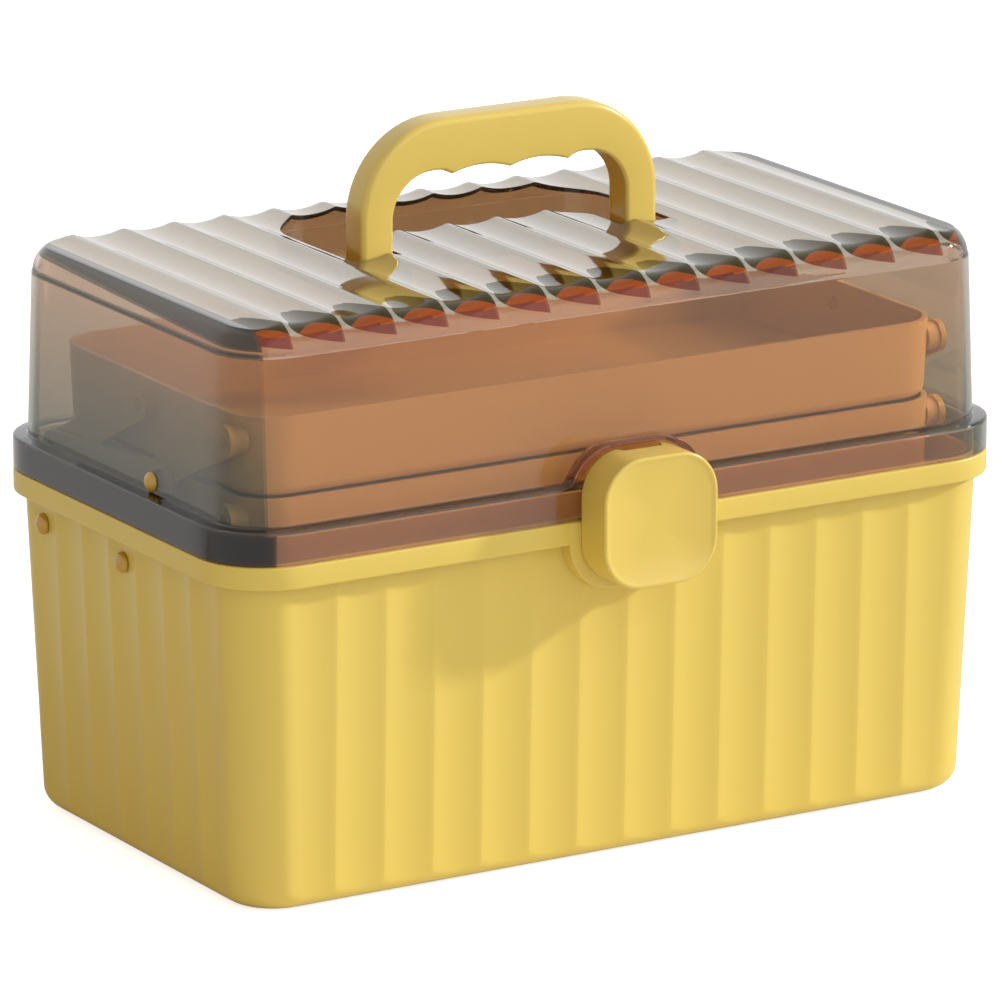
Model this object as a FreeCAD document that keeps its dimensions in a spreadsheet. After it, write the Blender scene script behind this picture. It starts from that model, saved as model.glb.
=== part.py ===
import FreeCAD, Part
import math
import os
import re
from FreeCAD import Placement, Rotation, Vector

# A family medicine box: a fluted base, a see-through lid with a folding handle, and two trays
# that rise on cantilever arms when the lid opens. Millimetres, X along the box, the latch at -Y,
# +Z up, and the origin at the middle of the flat underside.

doc = FreeCAD.newDocument("medicine_box")
sheet = doc.addObject("Spreadsheet::Sheet", "Sizes")

SIZES = [
    ("rim_length", 330.0, "outside length of the rims"),
    ("rim_depth", 188.0, "outside depth of the rims"),
    ("rim_corner", 27.5, "corner radius of the rims, seen from above"),
    ("seam_height", 130.4, "height of the joint between base and lid"),
    ("base_rim_height", 8.6, "height of the base rim"),
    ("rim_wall", 2.0, "wall of the rim skirts"),
    ("collar_proud", 0.5, "how far the collar inside the base rim stands out from the wall"),
    ("base_step", 5.0, "step from the rim to the base wall"),
    ("base_draft_ends", 4.5, "how far the base ends lean in, top to bottom"),
    ("base_draft_front", 3.0, "how far the base front and back lean in"),
    ("base_corner", 21.0, "corner radius of the base walls"),
    ("base_foot_round", 8.0, "rounding of the bottom edge"),
    ("base_wall", 2.2, "base wall behind the deepest part of a flute"),
    ("base_floor", 2.6, "thickness of the base floor"),
    ("base_flute_pitch", 20.2, "spacing of the ridges on the base"),
    ("base_flute_deep", 1.4, "depth of a flute on the base"),
    ("lid_rim_height", 12.6, "height of the lid rim"),
    ("lid_step", 5.4, "step from the rim to the lid wall"),
    ("lid_draft", 2.3, "how far the lid walls lean in"),
    ("lid_corner", 21.0, "corner radius of the lid walls"),
    ("lid_top_round", 11.0, "rounding of the lid's top edge"),
    ("lid_wall", 2.0, "wall of the lid"),
    ("lid_height", 84.6, "seam to the ridges on the lid top"),
    ("lid_flute_pitch", 21.05, "spacing of the ridges on the lid top"),
    ("lid_flute_deep", 1.8, "depth of a flute on the lid top"),
    ("recess_half", 68.0, "half the length of the handle recess"),
    ("recess_back", 67.0, "back of the handle recess"),
    ("recess_front", 7.5, "front of the recess, ahead of the handle pivot"),
    ("recess_deep", 16.5, "depth of the handle recess"),
    ("recess_corner", 30.0, "corner radius at the back of the recess"),
    ("tongue_half", 46.5, "half the width of the tongue inside the recess"),
    ("tongue_back", 22.0, "back of that tongue"),
    ("tongue_corner", 12.0, "corner radius of that tongue"),
    ("handle_half", 63.2, "half the outside width of the handle"),
    ("handle_leg", 13.4, "width of a handle leg"),
    ("handle_thick", 13.6, "thickness of the handle, front to back"),
    ("handle_rise", 55.8, "handle pivot to the top of the grip"),
    ("handle_grip", 19.0, "height of the grip bar at the finger dips"),
    ("handle_bend", 36.0, "outer bend radius of the handle"),
    ("handle_inner_bend", 17.0, "inner bend radius of the handle"),
    ("handle_edge", 2.6, "rounding of the handle's edges"),
    ("finger_pitch", 24.5, "spacing of the finger dips"),
    ("finger_deep", 2.1, "depth of a finger dip"),
    ("handle_pivot_drop", 9.0, "lid top to the handle pivot"),
    ("handle_pin_radius", 2.5, "handle pivot pin"),
    ("latch_width", 47.8, "width of the latch button"),
    ("latch_tall", 48.4, "height of the latch button"),
    ("latch_centre_drop", -0.7, "seam to the middle of the latch, downwards"),
    ("latch_face", 16.9, "rim face to the front of the latch"),
    ("latch_corner", 16.0, "corner radius of the latch button"),
    ("latch_edge", 1.2, "rounding of the latch's front edge"),
    ("latch_wall", 2.4, "wall of the latch button"),
    ("pad_width", 56.0, "width of the seat behind the latch"),
    ("pad_rise", 26.6, "seam to the top of the lid's latch seat"),
    ("pad_fall", 26.8, "seam to the bottom of the base's latch seat"),
    ("pad_corner", 18.0, "corner radius of the latch seat"),
    ("pad_proud", 0.2, "how far the latch seat stands out from the rims"),
    ("pad_flare", 5.0, "radius where the sides of the seat run out onto the lid rim"),
    ("latch_pin_radius", 1.6, "latch pivot pin"),
    ("latch_pin_rise", 19.0, "seam to the latch pivot"),
    ("latch_pin_out", 6.0, "rim face to the latch pivot"),
    ("lug_inset", 4.4, "middle of the latch to its lugs on the lid"),
    ("lug_thick", 3.4, "thickness of those lugs, and of the latch's ears beside them"),
    ("lug_web_drop", 1.3, "latch pivot down to the lugs' webs"),
    ("catch_drop", 13.0, "seam to the underside of the catch bar"),
    ("catch_out", 3.6, "how far the catch bar stands out from the rims"),
    ("tray_end_room", 18.0, "rim end to the end of a tray"),
    ("tray_front_room", 21.5, "rim face to the front of a tray"),
    ("tray_height", 29.7, "height of a tray"),
    ("tray_stack", 0.3, "gap between the stacked trays"),
    ("tray_corner", 17.0, "corner radius of a tray"),
    ("tray_foot_round", 4.0, "rounding of a tray's bottom edge"),
    ("tray_draft", 1.0, "how far the tray walls lean in"),
    ("tray_wall", 2.0, "wall of a tray"),
    ("tray_rise", 7.3, "base pivots up to the underside of the lower tray"),
    ("pivot_pitch", 61.0, "spacing of the parallel arms"),
    ("base_pivot_back", 61.5, "rear base pivot, behind the middle"),
    ("base_pivot_drop", 18.4, "seam down to the base pivots"),
    ("arm_reach", 61.5, "forward reach of a short arm"),
    ("arm_lift", 29.0, "height that a short arm spans"),
    ("arm_width", 12.0, "width of an arm"),
    ("arm_thick", 2.5, "thickness of an arm"),
    ("arm_gap", 2.0, "tray end to the arm"),
    ("layer_gap", 0.6, "arm to the lid link beside it"),
    ("pivot_radius", 2.5, "arm pivot pins"),
    ("pivot_play", 0.1, "running clearance on the pins"),
    ("boss_radius", 5.2, "bosses round the pins"),
    ("head_radius", 3.9, "heads of the outside pins, at the wall"),
    ("head_top", 2.4, "flat top of those heads"),
    ("head_proud", 2.2, "height of those heads"),
    ("lid_pin_forward", 22.0, "lid link pin, ahead of the middle"),
    ("lid_pin_rise", 16.6, "seam to the lid link pin"),
    ("link_play", 1.9, "radial play of the lid link on its lid pin"),
    ("hinge_back", 4.5, "rim back to the hinge axis"),
    ("hinge_rise", 0.6, "seam to the hinge axis"),
    ("knuckle_radius", 4.0, "hinge knuckle"),
    ("hinge_pin_radius", 1.75, "hinge pin"),
    ("hinge_centre", 94.0, "middle of a hinge, from the box's middle"),
    ("knuckle_length", 10.6, "length of a hinge knuckle"),
    ("knuckle_play", 0.4, "end play between the knuckles"),
    ("fit_gap", 0.3, "gap between neighbours that only pass each other"),
]

for row, (alias, value, note) in enumerate(SIZES, start=1):
    sheet.set(f"A{row}", note)
    sheet.set(f"B{row}", str(value))
    sheet.setAlias(f"B{row}", alias)
doc.recompute()

WORD = re.compile(r"[a-z][a-z_]*[a-z]")
NAMES = {alias for alias, value, note in SIZES}
slate = doc.addObject("Spreadsheet::Sheet", "Slate")


def linked(text):
    """A formula of size names, as another object of the document has to write it."""
    return WORD.sub(lambda hit: "Sizes." + hit.group() if hit.group() in NAMES else hit.group(), text)


def size(text):
    """The number that a formula of size names gives, worked out on a slate of its own."""
    slate.set("A1", "=" + linked(text))
    slate.recompute()
    return float(slate.get("A1"))


def place(item, x="0", y="0", z="0", turn=None):
    """Put an object at a formula for each coordinate, turned about an axis first."""
    if turn:
        item.Placement = Placement(Vector(0, 0, 0), Rotation(*turn))
    for axis, text in zip("xyz", (x, y, z)):
        item.setExpression(f"Placement.Base.{axis}", linked(text))
    return item


def block(name, x, y, z):
    """A box between two formulas along each axis."""
    item = doc.addObject("Part::Box", name)
    for prop, span in zip(("Length", "Width", "Height"), (x, y, z)):
        item.setExpression(prop, linked(f"({span[1]}) - ({span[0]})"))
    return place(item, x[0], y[0], z[0])


def rod(name, radius, x, y, z):
    """A cylinder along the axis whose place is a pair of formulas."""
    item = doc.addObject("Part::Cylinder", name)
    along = [span for span in (x, y, z) if isinstance(span, tuple)][0]
    item.setExpression("Radius", linked(radius))
    item.setExpression("Height", linked(f"({along[1]}) - ({along[0]})"))
    turn = {0: (Vector(0, 1, 0), 90), 1: (Vector(1, 0, 0), -90), 2: None}[(x, y, z).index(along)]
    start = [span[0] if isinstance(span, tuple) else span for span in (x, y, z)]
    return place(item, *start, turn=turn)


def taper(name, low, high, z):
    """A block whose half length and half depth go from the low pair to the high pair."""
    item = doc.addObject("Part::Wedge", name)
    bottom, top = z
    for prop, text in (("Xmin", f"-({low[0]})"), ("Xmax", low[0]), ("Zmin", f"-({low[1]})"),
                       ("Zmax", low[1]), ("X2min", f"-({high[0]})"), ("X2max", high[0]),
                       ("Z2min", f"-({high[1]})"), ("Z2max", high[1]), ("Ymin", "0"),
                       ("Ymax", f"({top}) - ({bottom})")):
        item.setExpression(prop, linked(text))
    return place(item, z=bottom, turn=(Vector(1, 0, 0), 90))


def join(name, parts):
    """One solid from several that meet."""
    item = doc.addObject("Part::MultiFuse", name)
    item.Shapes = parts
    item.Refine = True
    return item


def group(name, parts):
    """Separate solids kept in one node, such as a set of pins."""
    item = doc.addObject("Part::Compound", name)
    item.Links = parts
    return item


def less(name, body, tool):
    """A body with a tool cut away; several tools are given as a list."""
    item = doc.addObject("Part::Cut", name)
    item.Base = body
    item.Tool = join(name + "_cutter", tool) if isinstance(tool, list) else tool
    item.Refine = True
    return item


def shared(name, first, second):
    """What two bodies have in common."""
    item = doc.addObject("Part::Common", name)
    item.Base = first
    item.Tool = second
    return item


def soften(name, body, choices):
    """Round edges: each choice is a test of an edge and a formula for its radius."""
    doc.recompute()
    item = doc.addObject("Part::Fillet", name)
    item.Base = body
    edges = []
    for number, edge in enumerate(body.Shape.Edges, start=1):
        for test, radius in choices:
            if test(edge):
                edges.append((number, size(radius), size(radius)))
                break
    item.Edges = edges
    return item


def upright(edge):
    """True for the corner edges that run up the object, leaning or not."""
    first, last = edge.Vertexes[0].Point, edge.Vertexes[-1].Point
    rise = abs(first.z - last.z)
    return rise > 0.8 * edge.Length and rise > 0.5


def level(formula):
    """A test for edges that lie flat at one height."""
    height = size(formula)
    return lambda edge: all(abs(point.Point.z - height) < 1e-4 for point in edge.Vertexes)


def rounded(name, x, y, z, corner):
    """A box with rounded upright corners."""
    return soften(name, block(name + "_box", x, y, z), [(upright, corner)])


def mirrored(name, item):
    """The same piece on the other end of the box."""
    twin = doc.addObject("Part::Mirroring", name)
    twin.Source = item
    twin.Normal = Vector(1, 0, 0)
    return twin


def steps(count):
    """Places of a centred row, in spacings: 3 gives -1, 0, 1."""
    return [index - (count - 1) / 2 for index in range(count)]


nodes = []


def finish(item, label):
    """Name a finished piece; its label names its file."""
    item.Label = label
    nodes.append(item)
    return item


# The base shell: leaning walls with upright flutes, a rolled foot and a hollow rim.

rim_x = "rim_length / 2"
rim_y = "rim_depth / 2"
under_rim = "(seam_height - base_rim_height)"
wall_top_x = f"({rim_x} - base_step)"
wall_top_y = f"({rim_y} - base_step)"
wall_low_x = f"({wall_top_x} - base_draft_ends)"
wall_low_y = f"({wall_top_y} - base_draft_front)"


def flute_radius(pitch, deep):
    """Radius of a groove that is as wide as the pitch and as deep as asked."""
    return f"(({pitch}) ^ 2 / (8 * ({deep})) + ({deep}) / 2)"


def wall_flutes(name, count, front, lean):
    """Leaning grooves that scoop one pair of base walls, front and back or both ends."""
    radius = flute_radius("base_flute_pitch", "base_flute_deep")
    low = wall_low_y if front else wall_low_x
    tools = []
    angle = math.degrees(math.atan2(size(lean), size(under_rim)))
    for side in (-1, 1):
        for step in steps(count):
            item = doc.addObject("Part::Cylinder", f"{name}_{len(tools)}")
            item.setExpression("Radius", linked(radius))
            item.setExpression("Height", linked(f"{under_rim} * 1.002"))
            out = f"{side} * ({low} + {radius} - base_flute_deep)"
            along = f"{step} * base_flute_pitch"
            if front:
                place(item, along, out, "0", turn=(Vector(1, 0, 0), -side * angle))
            else:
                place(item, out, along, "0", turn=(Vector(0, 1, 0), side * angle))
            tools.append(item)
    return tools


base_block = soften("base_block", taper("base_taper", (wall_low_x, wall_low_y),
                                        (wall_top_x, wall_top_y), ("0", under_rim)),
                    [(upright, "base_corner"), (level("0"), "base_foot_round")])
base_fluted = less("base_fluted", base_block,
                   wall_flutes("front_flute", 14, True, "base_draft_front")
                   + wall_flutes("end_flute", 7, False, "base_draft_ends"))

skin = "(base_wall + base_flute_deep)"
base_rim = rounded("base_rim", (f"-{rim_x}", rim_x), (f"-{rim_y}", rim_y),
                   (under_rim, "seam_height"), "rim_corner")
skirt_x = f"({rim_x} - rim_wall)"
skirt_y = f"({rim_y} - rim_wall)"
base_skirt = rounded("base_skirt", (f"-{skirt_x}", skirt_x), (f"-{skirt_y}", skirt_y),
                     (f"{under_rim} - 1", "seam_height - rim_wall"), "(rim_corner - rim_wall)")
collar_x = f"({wall_top_x} + collar_proud)"
collar_y = f"({wall_top_y} + collar_proud)"
base_collar = rounded("base_collar", (f"-{collar_x}", collar_x), (f"-{collar_y}", collar_y),
                      (under_rim, "seam_height"), "(base_corner + collar_proud)")
base_hollow_rim = less("base_hollow_rim", base_rim, less("base_rim_groove", base_skirt, base_collar))

base_cavity = soften("base_cavity", taper("cavity_taper",
                                          (f"({wall_low_x} - {skin})", f"({wall_low_y} - {skin})"),
                                          (f"({wall_top_x} - {skin})", f"({wall_top_y} - {skin})"),
                                          ("base_floor", "seam_height + 1")),
                     [(upright, f"(base_corner - {skin})"),
                      (level("base_floor"), f"(base_foot_round - {skin})")])

# The pivots of the tray arms lie on the two ends of the base.

tray_x = f"({rim_x} - tray_end_room)"
tray_y = f"({rim_y} - tray_front_room)"
base_pivot_z = "(seam_height - base_pivot_drop)"
rear_pivot = ("base_pivot_back", base_pivot_z)
front_pivot = ("(base_pivot_back - pivot_pitch)", base_pivot_z)
arm_in = f"({tray_x} + arm_gap)"
arm_out = f"({arm_in} + arm_thick)"
link_in = f"({arm_out} + layer_gap)"
link_out = f"({link_in} + arm_thick)"


def both_ends(name, radius, x, spot):
    """A rod on each end of the box, at one spot seen from the side."""
    right = rod(name + "_right", radius, x, spot[0], spot[1])
    left = rod(name + "_left", radius, (f"-({x[1]})", f"-({x[0]})"), spot[0], spot[1])
    return [left, right]


base_bosses = []
base_holes = []
for name, spot in (("rear", rear_pivot), ("front", front_pivot)):
    base_bosses += both_ends(f"base_boss_{name}", "boss_radius", (f"{arm_out} + fit_gap", wall_top_x), spot)
    base_holes += both_ends(f"base_hole_{name}", "pivot_radius", (tray_x, rim_x), spot)

# The hinge at the back: knuckles on the rims, with a pin through each pair.

hinge_y = f"({rim_y} + hinge_back)"
hinge_z = "(seam_height + hinge_rise)"


def knuckles(name, offsets, z_span):
    """Knuckles on both hinges, each with a web to the rim that carries it."""
    made = []
    for side in (-1, 1):
        for offset in offsets:
            middle = f"({side} * hinge_centre + {offset} * (knuckle_length + knuckle_play))"
            span = (f"{middle} - knuckle_length / 2", f"{middle} + knuckle_length / 2")
            made.append(rod(f"{name}_{len(made)}", "knuckle_radius", span, hinge_y, hinge_z))
            made.append(block(f"{name}_{len(made)}", span, (f"{rim_y} - rim_wall", hinge_y), z_span))
    return made


def hinge_bore(name):
    """The bores of both hinges."""
    reach = "(1.5 * knuckle_length + 2 * knuckle_play)"
    return [rod(f"{name}_{side}", "hinge_pin_radius",
                (f"{side} * hinge_centre - {reach}", f"{side} * hinge_centre + {reach}"), hinge_y, hinge_z)
            for side in (-1, 1)]


# The latch seat stands proud of both rims, split at the seam.

pad_x = "pad_width / 2"
pad_y = f"({rim_y} + pad_proud)"


def latch_seat(name, z_span, inner):
    """The part of the rounded seat between two heights, from its face back to the wall."""
    whole = soften(name + "_whole", block(name + "_box", (f"-{pad_x}", pad_x), (f"-{pad_y}", f"-({inner})"),
                                          ("seam_height - pad_fall", "seam_height + pad_rise")),
                   [(lambda edge: abs(edge.tangentAt(edge.FirstParameter).y) > 0.99, "pad_corner")])
    keep = block(name + "_keep", ("-pad_width", "pad_width"), ("-rim_depth", "0"), z_span)
    return shared(name, whole, keep)


base_seat = latch_seat("base_seat", ("0", "seam_height"), f"{wall_top_y} - base_draft_front - 0.5")
catch_bar = block("catch_bar", ("-latch_width / 4", "latch_width / 4"),
                  (f"-({rim_y} + catch_out)", f"-({rim_y} - 1)"),
                  ("seam_height - catch_drop", "seam_height - catch_drop + 3"))

base_walls = join("base_walls", [base_fluted, base_hollow_rim, base_collar, base_seat, catch_bar]
                  + knuckles("base_knuckle", (-1, 1), (f"{under_rim}", "seam_height - fit_gap")))
base_open = less("base_open", base_walls, base_cavity)
base_with_bosses = join("base_with_bosses", [base_open] + base_bosses)
base_shell = less("base_shell", base_with_bosses, base_holes + hinge_bore("base_bore"))
finish(base_shell, "base_shell")


# The lid shell: smooth leaning walls, a top that is fluted from front to back, and a recess
# round a tongue, where the handle folds down.

rim_top = "(seam_height + lid_rim_height)"
lid_top = "(seam_height + lid_height)"
lid_low_x = f"({rim_x} - lid_step)"
lid_low_y = f"({rim_y} - lid_step)"
lid_high_x = f"({lid_low_x} - lid_draft)"
lid_high_y = f"({lid_low_y} - lid_draft)"

lid_block = soften("lid_block", taper("lid_taper", (lid_low_x, lid_low_y), (lid_high_x, lid_high_y),
                                      ("seam_height", lid_top)),
                   [(upright, "lid_corner"), (level(lid_top), "lid_top_round")])
lid_cavity = soften("lid_cavity", taper("lid_cavity_taper",
                                        (f"({lid_low_x} - lid_wall)", f"({lid_low_y} - lid_wall)"),
                                        (f"({lid_high_x} - lid_wall)", f"({lid_high_y} - lid_wall)"),
                                        ("seam_height - 1", f"({lid_top} - lid_flute_deep - lid_wall)")),
                    [(upright, "(lid_corner - lid_wall)"),
                     (level(f"({lid_top} - lid_flute_deep - lid_wall)"), "(lid_top_round - lid_wall)")])

lid_rim = rounded("lid_rim", (f"-{rim_x}", rim_x), (f"-{rim_y}", rim_y), ("seam_height", rim_top),
                  "rim_corner")
lid_skirt = rounded("lid_skirt", (f"-{skirt_x}", skirt_x), (f"-{skirt_y}", skirt_y),
                    ("seam_height - 1", f"{rim_top} - rim_wall"), "(rim_corner - rim_wall)")
lid_hollow_rim = less("lid_hollow_rim", lid_rim, less("lid_rim_groove", lid_skirt, lid_block))

recess_floor = f"({lid_top} - recess_deep)"


def back_corner(edge):
    """True for the upright corners at the back of a recess outline."""
    return upright(edge) and edge.Vertexes[0].Point.y > 0


def recess_outline(name, grow, z):
    """The outline of the recess, grown by a formula: square in front and round at the back."""
    x = f"(recess_half + {grow})"
    box = block(name + "_box", (f"-{x}", x), (f"-(recess_front + {grow})", f"recess_back + {grow}"), z)
    return soften(name, box, [(back_corner, f"(recess_corner + {grow})")])


def tongue_outline(name, grow, z, front):
    """The outline of the tongue that the folded handle lies round."""
    x = f"(tongue_half + {grow})"
    box = block(name + "_box", (f"-{x}", x), (f"-({front})", f"tongue_back + {grow}"), z)
    return soften(name, box, [(back_corner, f"(tongue_corner + {grow})")])


recess_walls = recess_outline("recess_walls", "lid_wall", (f"{recess_floor} - lid_wall",
                                                           f"{lid_top} - lid_flute_deep"))
under_tongue = tongue_outline("under_tongue", "(-lid_wall)",
                              (f"{recess_floor} - lid_wall - 1",
                               f"{lid_top} - lid_flute_deep - lid_wall"),
                              "recess_front + lid_wall + 1")
recess_tray = less("recess_tray", recess_walls, under_tongue)
recess_cut = recess_outline("recess_cut", "0", (recess_floor, f"{lid_top} + 1"))
tongue = tongue_outline("tongue", "0", (f"{recess_floor} - 1", f"{lid_top} + 2"), "recess_front + 1")
recess_groove = less("recess_groove", recess_cut, tongue)

lid_flutes = []
lid_flute = flute_radius("lid_flute_pitch", "lid_flute_deep")
for step in steps(15):
    item = rod(f"lid_flute_{len(lid_flutes)}", lid_flute, f"{step} * lid_flute_pitch",
               ("-rim_depth / 2", "rim_depth / 2"), f"{lid_top} - lid_flute_deep + {lid_flute}")
    lid_flutes.append(item)

lid_seat = latch_seat("lid_seat", ("seam_height + 0.001", "seam_height + rim_depth"),
                      f"{lid_low_y} - lid_draft")
handle_pivot = f"({lid_top} - handle_pivot_drop)"
latch_pin_y = f"-({rim_y} + latch_pin_out)"
latch_pin_z = "(seam_height + latch_pin_rise)"
latch_eye_radius = "2 * latch_pin_radius"
latch_above = "(latch_tall / 2 - latch_centre_drop - latch_pin_rise)"
latch_behind = "(latch_pin_out - pad_proud - fit_gap)"
lug_in = "lug_inset"
lug_out = "lug_inset + lug_thick"
ear_in = "lug_inset + lug_thick + fit_gap"
ear_out = "lug_inset + 2 * lug_thick + fit_gap"


def latch_lugs(name, near, far):
    """A pair of lugs that reach out to the latch pin."""
    made = []
    for side in (-1, 1):
        span = (f"{side} * ({near})", f"{side} * ({far})") if side > 0 else (f"-({far})", f"-({near})")
        made.append(rod(f"{name}_eye{side}", latch_eye_radius, span, latch_pin_y, latch_pin_z))
        made.append(block(f"{name}_web{side}", span, (latch_pin_y, f"-({lid_low_y})"),
                          (f"{latch_pin_z} - {latch_eye_radius}", f"{latch_pin_z} - lug_web_drop")))
    return made


latch_sweep = f"sqrt(({latch_above}) ^ 2 + ({latch_behind}) ^ 2)"
lid_pocket = block("lid_pocket", ("-latch_width / 2 - 2 * fit_gap", "latch_width / 2 + 2 * fit_gap"),
                   ("-rim_depth", f"{latch_pin_y} + {latch_sweep} + 2 * fit_gap"),
                   (f"{latch_pin_z} - {latch_eye_radius} - 1",
                    f"{latch_pin_z} + {latch_above} + 2 * fit_gap"))
flare_z = f"({rim_top} + pad_flare)"
flare_rise = "(lid_rim_height + pad_flare - pad_rise + pad_corner)"
flare_x = f"({pad_x} - pad_corner + sqrt((pad_corner + pad_flare) ^ 2 - {flare_rise} ^ 2))"
flare_top = f"{rim_top} + pad_flare / 2"


def seat_flare(side):
    """The hollow curve where one side of the latch seat runs out onto the lid rim."""
    span = (f"{pad_x} - 3", flare_x) if side > 0 else (f"-{flare_x}", f"-({pad_x} - 3)")
    foot = block(f"flare_block{side}", span, (f"-{pad_y}", f"-({lid_low_y})"), (f"{rim_top} - 1", flare_top))
    hollow = rod(f"flare_hollow{side}", "pad_flare", f"{side} * {flare_x}", ("-rim_depth", "0"), flare_z)
    return less(f"seat_flare{side}", foot, hollow)


lid_walls = join("lid_walls", [lid_block, lid_hollow_rim, less("lid_seat_open", lid_seat, lid_pocket)]
                 + [seat_flare(side) for side in (-1, 1)]
                 + latch_lugs("lid_lug", lug_in, lug_out)
                 + knuckles("lid_knuckle", (0,), ("seam_height + fit_gap", rim_top)))
lid_open = less("lid_open", lid_walls, [lid_cavity] + lid_flutes)
lid_recessed = less("lid_recessed", join("lid_with_recess", [lid_open, recess_tray]), recess_groove)
link_pin_spot = ("-lid_pin_forward", "(seam_height + lid_pin_rise)")
pin_near, pin_far = "(tongue_half - lid_wall)", "(recess_half + lid_wall)"
handle_pin_spans = (("right", (pin_near, pin_far)), ("left", (f"-{pin_far}", f"-{pin_near}")))
handle_bores = [rod(f"handle_bore_{side}", "handle_pin_radius", span, "0", handle_pivot)
                for side, span in handle_pin_spans]
latch_bore = rod("latch_bore", "latch_pin_radius", (f"-({ear_out})", ear_out), latch_pin_y, latch_pin_z)
lid_shell = less("lid_shell", lid_recessed, handle_bores + [latch_bore] + hinge_bore("lid_bore")
                 + both_ends("lid_link_hole", "pivot_radius", (link_in, rim_x), link_pin_spot))
finish(lid_shell, "lid_shell")

# Two open trays, one on the other.


def tray(name, bottom, spots):
    """A thin tray with leaning walls, bosses on its ends and holes for its pivot pins."""
    top = f"({bottom} + tray_height)"
    low = (f"({tray_x} - tray_draft)", f"({tray_y} - tray_draft)")
    high = (tray_x, tray_y)
    outside = soften(name + "_outside", taper(name + "_taper", low, high, (bottom, top)),
                     [(upright, "tray_corner"), (level(bottom), "tray_foot_round")])
    inside = soften(name + "_inside",
                    taper(name + "_hollow", tuple(f"({text} - tray_wall)" for text in low),
                          tuple(f"({text} - tray_wall)" for text in high),
                          (f"({bottom} + tray_wall)", f"({top} + 0.001)")),
                    [(upright, "(tray_corner - tray_wall)")])
    bosses = []
    holes = []
    for number, spot in enumerate(spots):
        bosses += both_ends(f"{name}_boss{number}", "boss_radius",
                            (f"{tray_x} - tray_draft - tray_wall", f"{arm_in} - fit_gap"), spot)
        holes += both_ends(f"{name}_hole{number}", "pivot_radius", (f"{tray_x} - 8", arm_in), spot)
    shell = less(name + "_shell", join(name + "_solid", [outside] + bosses), inside)
    return less(name, shell, holes)


pin_height = f"({base_pivot_z} + arm_lift)"
lower_front = ("(base_pivot_back - arm_reach - pivot_pitch)", pin_height)
lower_middle = ("(base_pivot_back - arm_reach)", pin_height)
lower_rear = ("(base_pivot_back - arm_reach + pivot_pitch)", pin_height)
upper_height = f"({base_pivot_z} + 2 * arm_lift)"
upper_front = ("(base_pivot_back - 2 * arm_reach)", upper_height)
upper_rear = ("(base_pivot_back - 2 * arm_reach + pivot_pitch)", upper_height)

lower_bottom = f"({base_pivot_z} + tray_rise)"
finish(tray("lower_tray", lower_bottom, [lower_front, lower_middle, lower_rear]), "lower_tray")
finish(tray("upper_tray", f"({lower_bottom} + tray_height + tray_stack)", [upper_front, upper_rear]),
       "upper_tray")

# The arms are flat links with round ends, drilled at each pivot.


def link(name, x, spots, bores, width="arm_width"):
    """A flat link on the right-hand end, through spots on one straight line."""
    first, last = spots[0], spots[-1]
    run = (size(last[0]) - size(first[0]), size(last[1]) - size(first[1]))
    angle = math.degrees(math.atan2(run[1], run[0]))
    bar = doc.addObject("Part::Box", name + "_bar")
    reach = f"sqrt(({last[0]} - {first[0]}) ^ 2 + ({last[1]} - {first[1]}) ^ 2)"
    bar.setExpression("Length", linked(f"({x[1]}) - ({x[0]})"))
    bar.setExpression("Width", linked(reach))
    bar.setExpression("Height", linked(width))
    bar.Placement = Placement(Vector(0, 0, 0), Rotation(Vector(1, 0, 0), angle))
    side = Vector(0, math.sin(math.radians(angle)), -math.cos(math.radians(angle)))
    place(bar, x[0], f"{first[0]} + {side.y} * {width} / 2", f"{first[1]} + {side.z} * {width} / 2",
          turn=(Vector(1, 0, 0), angle))
    ends = [rod(f"{name}_end{number}", f"{width} / 2", x, spot[0], spot[1])
            for number, spot in enumerate((first, last))]
    holes = [rod(f"{name}_bore{number}", bore, (f"{x[0]} - 1", f"{x[1]} + 1"), spot[0], spot[1])
             for number, (spot, bore) in enumerate(zip(spots, bores))]
    return less(name, join(name + "_blank", [bar] + ends), holes)


def arm_pair(label, x, spots, bores, width="arm_width"):
    """The same link on both ends of the box."""
    right = link(label + "_right_body", x, spots, bores, width)
    finish(right, label + "_right")
    finish(mirrored(label + "_left_body", right), label + "_left")


running = "(pivot_radius + pivot_play)"
arm_layer = (arm_in, arm_out)
link_layer = (link_in, link_out)
arm_pair("long_arm", arm_layer, [rear_pivot, lower_middle, upper_front], [running] * 3)
arm_pair("lower_arm", arm_layer, [front_pivot, lower_front], [running] * 2)
arm_pair("upper_arm", arm_layer, [lower_rear, upper_rear], [running] * 2)
arm_pair("lid_link", link_layer, [lower_rear, link_pin_spot], [running, "(pivot_radius + link_play)"])

# Pins: rivets with heads on the outside walls, flush ones in the trays.


def rivet(name, spot, inner, wall):
    """A pivot pin from inside the box to a chamfered head on the outside wall."""
    shank = rod(name + "_shank", "pivot_radius", (inner, wall), spot[0], spot[1])
    head = doc.addObject("Part::Cone", name + "_head")
    for prop, text in (("Radius1", "head_radius"), ("Radius2", "head_top"), ("Height", "head_proud")):
        head.setExpression(prop, linked(text))
    place(head, wall, spot[0], spot[1], turn=(Vector(0, 1, 0), 90))
    return join(name + "_right_pin", [shank, head])


def wall_at(high, low, drop, height):
    """Half length of a leaning end wall, a drop below its high edge."""
    return f"({high} - ({high} - {low}) * ({drop}) / ({height}))"


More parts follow.
